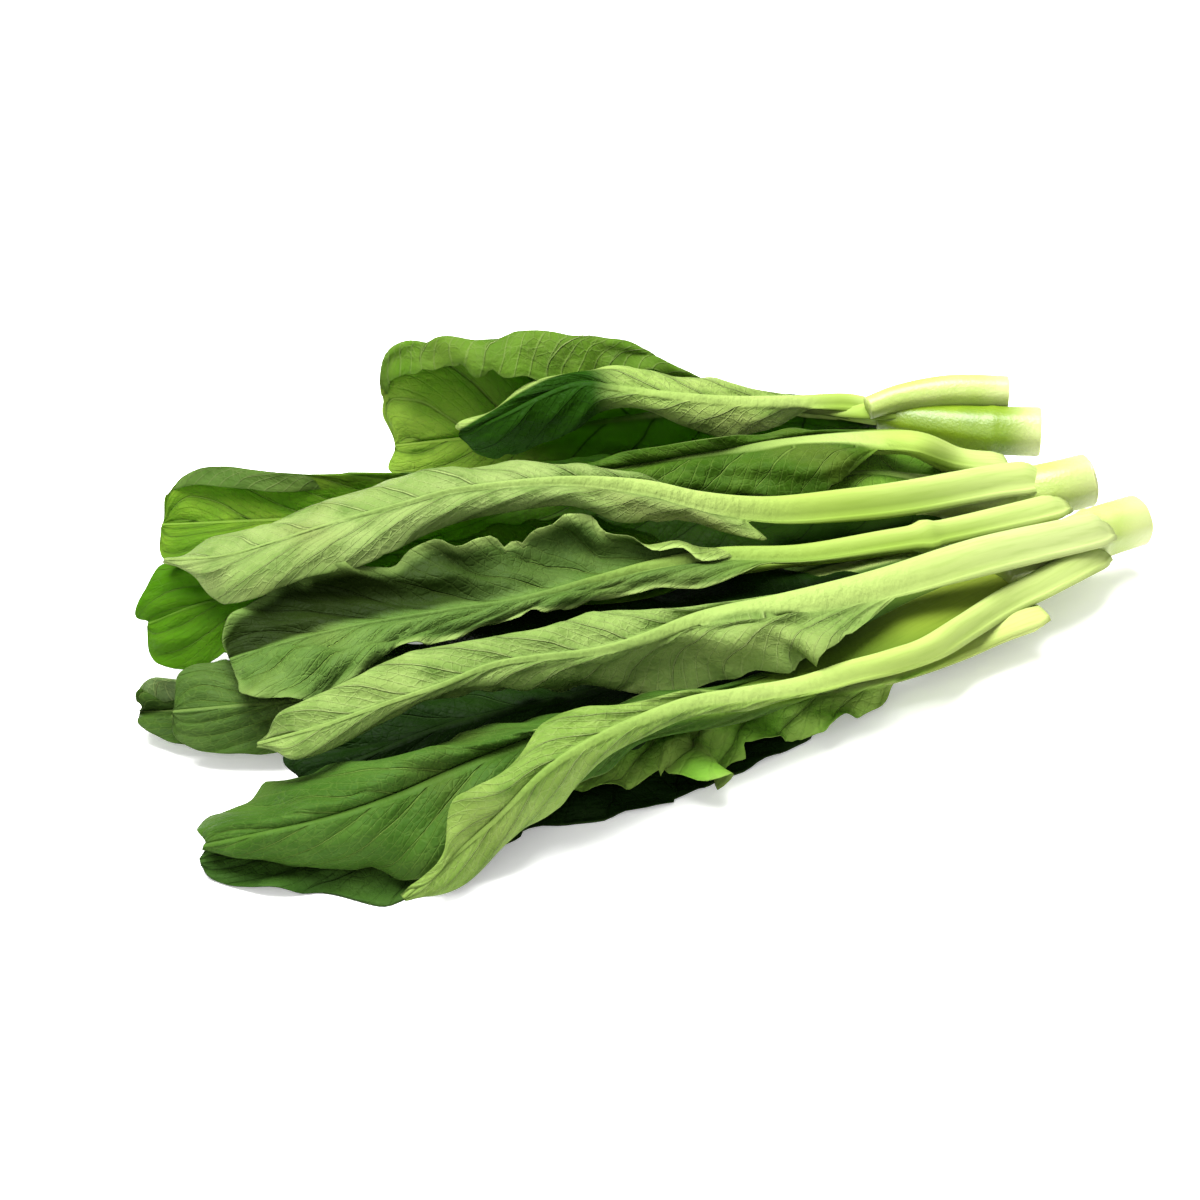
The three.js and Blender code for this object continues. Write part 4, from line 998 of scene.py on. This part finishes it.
def blade_colour(f, tone, marks):
    """The colour of each face with its veins, and over it one coat after another, each with its own share:
    painted shade in creases, on the far half, towards the root and on a turned tip, and stains and a paler
    edge.
    """
    spread, upper = f.spread(), f.read("upper")
    share, out, across = f.read("share"), f.read("out"), f.read("across")
    pale = f.step(f.noise(spread, MOTTLE_SCALE, 3), 0.3, 0.72)
    under = f.blend(pale, tone["under"], tone["under_light"])
    under = f.blend(marks["lines"], under, tone["under_vein"])
    under = f.blend(marks["vein"] * 0.6, under, tone["under_vein"])
    top = f.blend(pale, tone["upper"], tone["upper_light"])
    top = f.blend(marks["lines"] * 0.7, top, tone["upper_vein"])
    top = f.blend(marks["vein"] * 0.5, top, tone["upper_vein"])
    stain = f.step(f.noise(spread, STAIN_SCALE, 2), 0.5, 0.75)
    # Painted shade over the far half, faint at the rib and at the edge, growing towards the tip
    inner_half = f.step(across, 0.02, 0.2) * f.step(across, 0.98, 0.8)
    inner_half = inner_half * (0.3 + f.step(share, 0.3, 0.75) * 0.7)
    # Painted shade on the upper face, full near the root and gone towards the tip
    root_shade = f.step(share, tone["root_to"], tone["root_to"] - 0.33) * upper
    edge_line = f.step(out, tone["edge_from"], 1.0) * (1 - f.step(share, 0.45, 0.75) * 0.8)
    # A darker green on a turned tip's far side: partly the leaf's upper face, partly painted shade below its
    # crest
    turned_tip = f.step(share, 0.5, 0.62) * f.step(across, 0.8, 0.6)
    coats = [
        # Painted shade: a darker colour beside the side veins where the blade is drawn in, in the groove
        # beside the rib, and in patches over the wrinkle pattern
        ((1 - marks["quilt"]) * 0.24 * marks["off_rib"], tone["crease_shade"]),
        (marks["groove"] * 0.22, tone["crease_shade"]),
        (f.step(marks["wrinkle"], 0.5, 0.72) * 0.4, tone["crease_shade"]),
        (stain * tone["staining"], tone["stain"]),
        (inner_half * tone["inner_shade"], tone["inner"]),
        (root_shade * tone["root_shade"], tone["inner"]),
        (edge_line * tone["edging"], tone["edge"]),
        (marks["rib"], f.blend(f.step(share, 0.0, 0.6), tone["rib"], tone["rib_tip"])),
        (turned_tip * tone["turned_tip"], tone["inner"]),
    ]
    colour = f.blend(upper, under, top)
    for cover, coat in coats:
        colour = f.blend(cover, colour, coat)
    return colour


def petiole_colour(f, tone):
    """Palest at the base, with faint lines lengthwise, and painted shade that darkens its near, lower side.
    """
    start, lean = f.read("start"), f.read("lean")
    inputs = {0: f.spread(), 1: (FIBRE_LENGTHWISE, 1.0, 1.0)}
    drawn_out = f.node("ShaderNodeVectorMath", {"operation": "MULTIPLY"}, inputs)
    fibre = f.noise(drawn_out.outputs["Vector"], FIBRE_SCALE, 3)
    # Painted shade on the petiole's near, lower side, away from its very base
    low_side_shade = f.step(lean, 0.1, -1.1) * f.step(start, 0.05, 0.5)
    colour = f.blend(f.step(start, 0.15, 1.0), tone["base"], tone["petiole"])
    colour = f.blend(f.step(fibre, 0.42, 0.72) * 0.2, colour, tone["petiole_line"])
    return f.blend(low_side_shade * tone["low_side_shade"], colour, tone["petiole_line"])


def leaf_finish(leaf):
    """A leaf's skin, from its petiole into its veined blade, which lets some light through."""
    tone = painted({**LEAF_TONES, **LEAF_LOOKS.get(leaf["name"], {})})
    f = Graph(bpy.data.materials.new(leaf["name"] + "_finish"))
    petiole, marks = f.read("petiole"), leaf_marks(f)
    side_sign = 1 - f.read("upper") * 2
    relief = side_sign * (marks["vein"] * 0.4 + marks["lines"] * 0.4 - marks["quilt"] * 0.25)
    relief = relief + marks["wrinkle"] * 0.9 + marks["grain"] * 0.12
    values = {
        "Base Color": f.blend(petiole, blade_colour(f, tone, marks), petiole_colour(f, tone)),
        "Roughness": LEAF_ROUGHNESS + f.step(marks["grain"], 0.3, 0.7) * 0.14,
        "Normal": f.bumped(relief * (1 - petiole), LEAF_BUMP),
        "Specular IOR Level": LEAF_GLOSS,
    }
    skin = f.node("ShaderNodeBsdfPrincipled", {}, values)
    glow = f.node("ShaderNodeBsdfTranslucent", {}, {"Color": LIGHT_THROUGH})
    thin = (1 - marks["rib"]) * (1 - petiole) * (1 - marks["vein"] * 0.5) * tone["thinness"]
    return f.close(f.node("ShaderNodeMixShader", {}, {0: thin, 1: skin.outputs[0], 2: glow.outputs[0]}))


def stem_finish(stem):
    """A moist, faintly mottled stem skin, and a paler fibrous cut face."""
    tone = painted({**STEM_TONES, **STEM_LOOKS.get(stem["name"], {})})
    f = Graph(bpy.data.materials.new(stem["name"] + "_finish"))
    cut, radial, walk = f.read("cut"), f.read("radial"), f.read("walk")
    place = f.node("ShaderNodeTexCoord").outputs["Object"]
    mottle, grain = f.noise(place, STEM_MOTTLE_SCALE, 3), f.noise(place, STEM_GRAIN_SCALE, 3)
    skin = f.blend(f.step(mottle, 0.3, 0.7), tone["skin"], tone["skin_dark"])
    skin = f.blend(f.step(walk, 0.0, 0.25), tone["fresh"], skin)
    pith = f.blend(f.step(radial, 0.55, 0.9), tone["pith"], tone["cut_rim"])
    pith = f.blend(f.step(grain, 0.5, 0.8) * 0.4, pith, tone["fibre"])
    values = {
        "Base Color": f.blend(cut, skin, pith),
        "Roughness": STEM_ROUGHNESS + cut * 0.2,
        "Normal": f.bumped(grain * (0.3 + cut) + mottle * 0.5, STEM_BUMP),
        "Subsurface Weight": STEM_GLOW,
        "Subsurface Radius": STEM_GLOW_REACH,
    }
    return f.close(f.node("ShaderNodeBsdfPrincipled", {}, values))


def floor_finish():
    """An even white that glows a little, as a white surface does in a bright picture."""
    f = Graph(bpy.data.materials.new("white_surface"))
    values = {
        "Base Color": FLOOR_COLOUR,
        "Roughness": FLOOR_ROUGHNESS,
        "Emission Color": FLOOR_COLOUR,
        "Emission Strength": FLOOR_GLOW,
    }
    return f.close(f.node("ShaderNodeBsdfPrincipled", {}, values))


def make_floor():
    """A plain white surface under the bunch, far wider than the view."""
    half = FLOOR_HALF
    mesh = bpy.data.meshes.new("floor")
    corners = [(-half, -half, 0), (half, -half, 0), (half, half, 0), (-half, half, 0)]
    mesh.from_pydata(corners, [], [(0, 1, 2, 3)])
    mesh.materials.append(floor_finish())
    add_object("floor", mesh)


def aimed_from(place):
    """Places a lamp or camera, given in the view's frame, and points it at the middle of the bunch."""
    here, aim = (Vector(turned([spot])[0] + SHIFT) for spot in (place, VIEW_AIM))
    return Matrix.Translation(here) @ (aim - here).to_track_quat("-Z", "Y").to_matrix().to_4x4()


def make_lamp(name, place, size, power, colour):
    """A soft square lamp that points at the middle of the bunch, placed in the view's frame."""
    lamp = bpy.data.lights.new(name, "AREA")
    lamp.shape, lamp.size, lamp.energy, lamp.color = "SQUARE", size * MM, power, colour
    add_object(name, lamp).matrix_world = aimed_from(place)


def make_camera():
    """The photograph's view, through a long lens."""
    lens = bpy.data.cameras.new("camera")
    lens.lens, lens.sensor_width = SENSOR * VIEW_SCALE * VIEW_DISTANCE / (2 * VIEW_MIDDLE), SENSOR
    lens.clip_start, lens.clip_end = CLIP_START, CLIP_END
    camera = add_object("camera", lens)
    camera.matrix_world = aimed_from(view_axes()[0])
    bpy.context.scene.camera = camera


def make_surroundings():
    """White light from all round, stronger from above, and colours shown as they are."""
    g = Graph(bpy.data.worlds.new("white_room"))
    direction = g.node("ShaderNodeTexCoord").outputs["Generated"]
    upwards = g.node("ShaderNodeSeparateXYZ", {}, {"Vector": direction}).outputs["Z"]
    strength = g.node("ShaderNodeMapRange", {}, {"Value": upwards, "To Min": SKY_LOW, "To Max": SKY_HIGH})
    values = {"Color": (1, 1, 1, 1), "Strength": strength.outputs["Result"]}
    sky = g.node("ShaderNodeBackground", {}, values)
    bpy.context.scene.world = g.close(sky, "ShaderNodeOutputWorld")
    bpy.context.scene.view_settings.view_transform = "Standard"


# A colour is its red, green and blue from 0 to 255, and its light where that isn't the open one
STEM_TONES = {
    "skin": (222, 240, 140),
    "skin_dark": (204, 230, 112),
    "fresh": (236, 248, 164),
    "pith": (255, 255, 214, SIDE_LIGHT),
    "cut_rim": (240, 250, 160, SIDE_LIGHT),
    "fibre": (238, 246, 184, SIDE_LIGHT),
}
STEM_LOOKS = {
    "rear_stem": {"skin": (152, 186, 36), "skin_dark": (134, 170, 30)},
}
# Painted shade: far darker greens than a leaf's own, for leaves that lie deep in the bunch, so that the
# hollows round them show near black
PAINTED_SHADE_LEAF = {
    "upper_vein": (56, 88, 32),
    "under": (40, 66, 20),
    "under_light": (52, 80, 26),
    "crease_shade": (20, 42, 8),
    "rib": (60, 92, 30),
    "rib_tip": (46, 74, 22),
    "petiole": (80, 112, 30),
    "petiole_line": (60, 90, 20),
    "base": (150, 180, 80),
    "edge": (60, 90, 34),
    "staining": 0.0,
    "thinness": 0.02,
}
LEAF_TONES = {
    "under": (158, 190, 92),
    "under_light": (184, 212, 114),
    "under_vein": (206, 226, 142),
    "upper": (92, 140, 34),
    "upper_light": (120, 166, 52),
    "upper_vein": (156, 192, 88),
    "stain": (128, 124, 62),
    "edge": (172, 202, 110),
    # Colour of the painted shade in creases and wrinkles
    "crease_shade": (84, 124, 40),
    # Painted shade: its colour, and its shares over the far half and towards the root
    "inner": (58, 70, 12),
    "inner_shade": 0.0,
    "root_shade": 0.0,
    "edge_from": 0.975,
    "edging": 0.4,
    # Share of a darker green on a turned tip: partly its upper face, partly painted shade
    "turned_tip": 0.0,
    # Share of painted shade on a petiole's near, lower side
    "low_side_shade": 0.65,
    "root_to": 0.78,
    "rib": (194, 220, 122),
    "rib_tip": (160, 192, 98),
    "base": (214, 234, 140),
    "petiole": (184, 214, 90),
    "petiole_line": (136, 176, 44),
    "staining": 0.18,
    "thinness": 0.08,
}
LEAF_LOOKS = {
    "front_top_leaf": {
        "under": (138, 170, 84),
        "under_light": (164, 194, 104),
        "petiole": (208, 228, 134),
        "base": (222, 238, 156),
        "low_side_shade": 0.2,
    },
    "front_side_leaf": {
        "under": (132, 168, 70),
        "under_light": (164, 196, 96),
        "petiole": (198, 224, 112),
        "low_side_shade": 0.2,
    },
    "front_spread_leaf": {
        "upper": (64, 104, 30),
        "upper_light": (82, 122, 46),
        "petiole": (100, 132, 32),
        "petiole_line": (88, 120, 26),
        "base": (190, 214, 80),
        "rib": (124, 160, 54),
        "rib_tip": (112, 150, 58),
    },
    # Painted light: greens far lighter than a leaf's own, so that this leaf shows lit where it lies in the
    # shade of the side leaf's stalk
    "front_crinkled_leaf": {
        "upper": (170, 250, 80),
        "upper_light": (210, 255, 120),
        "petiole": (198, 222, 104),
        "base": (220, 236, 140),
        "low_side_shade": 0.2,
        "thinness": 0.25,
    },
    # Painted shade: a near-black leaf in the hollow under the top leaf
    "front_shaded_leaf": {**PAINTED_SHADE_LEAF, "upper": (16, 42, 2), "upper_light": (26, 54, 4)},
    # Painted shade: dark greens, darkest towards the root, which lies under the front leaves
    "front_floor_leaf": {
        **PAINTED_SHADE_LEAF,
        "upper": (64, 104, 36),
        "upper_light": (82, 122, 46),
        "root_shade": 0.95,
        "inner": (20, 42, 8),
    },
    # Painted shade: darker greens for a leaf that lies low, under the others
    "middle_floor_leaf": {"upper": (66, 96, 36), "upper_light": (90, 120, 56)},
    "left_curled_leaf": {
        "upper": (56, 84, 30),
        "upper_light": (74, 104, 42),
        "under": (88, 112, 62),
        "under_light": (108, 132, 80),
    },
    "middle_top_leaf": {
        "under": (140, 170, 88),
        "under_light": (168, 192, 112),
        "petiole": (182, 210, 86),
        "staining": 0.4,
    },
    # Painted shade: near black over the far half of the cup, under the top leaf, most of all towards the tip
    "middle_cupped_leaf": {
        "upper": (90, 124, 54),
        "upper_light": (112, 146, 70),
        "staining": 0.2,
        "inner": (24, 38, 2),
        "inner_shade": 0.9,
        "edge": (190, 218, 124),
        "edge_from": 0.84,
        "edging": 0.8,
        "rib": (158, 190, 88),
        "rib_tip": (120, 154, 70),
        "petiole": (190, 214, 104),
        "thinness": 0.03,
    },
    # A darker green on the turned tip: partly the leaf's upper face turned to the front, partly painted shade
    # below its crest
    "rear_folded_leaf": {"inner": (38, 80, 8), "turned_tip": 1.0, "thinness": 0.05},
    "middle_tip_leaf": {"upper": (96, 156, 22), "upper_light": (116, 174, 34), "thinness": 0.5},
    # Painted shade: dark towards the root, which lies low under the middle leaves' stalks
    "rear_left_leaf": {
        "upper": (116, 164, 40),
        "upper_light": (160, 200, 60),
        "under": (104, 140, 60),
        "under_light": (124, 160, 74),
        "inner": (22, 44, 8),
        "root_shade": 0.95,
        "thinness": 0.45,
    },
    # Painted shade: near black inside the roll, from the root most of the way to the tip
    "rear_rolled_leaf": {
        "under": (112, 160, 42),
        "under_light": (134, 176, 62),
        "upper": (156, 198, 62),
        "upper_light": (180, 216, 82),
        "inner": (3, 15, 1),
        "root_shade": 0.95,
        "root_to": 0.92,
        "thinness": 0.4,
    },
    "middle_back_leaf": {
        "upper": (60, 96, 18),
        "upper_light": (80, 116, 30),
        "petiole": (184, 214, 86),
    },
}

SHIFT = bunch_shift()
leaves = [placed({**USUAL_LEAF, **leaf}) for leaf in LEAVES]
for leaf, lifts in zip(leaves, lay_pile(leaves)):
    make_leaf(leaf, lifts)
for stem in STEMS:
    make_stem(placed(stem))
make_floor()
make_camera()
make_lamp("sky_window", KEY_PLACE, KEY_SIZE, KEY_POWER, (1.0, 1.0, 0.98))
make_lamp("front_window", FILL_PLACE, FILL_SIZE, FILL_POWER, (1.0, 1.0, 1.0))
make_surroundings()
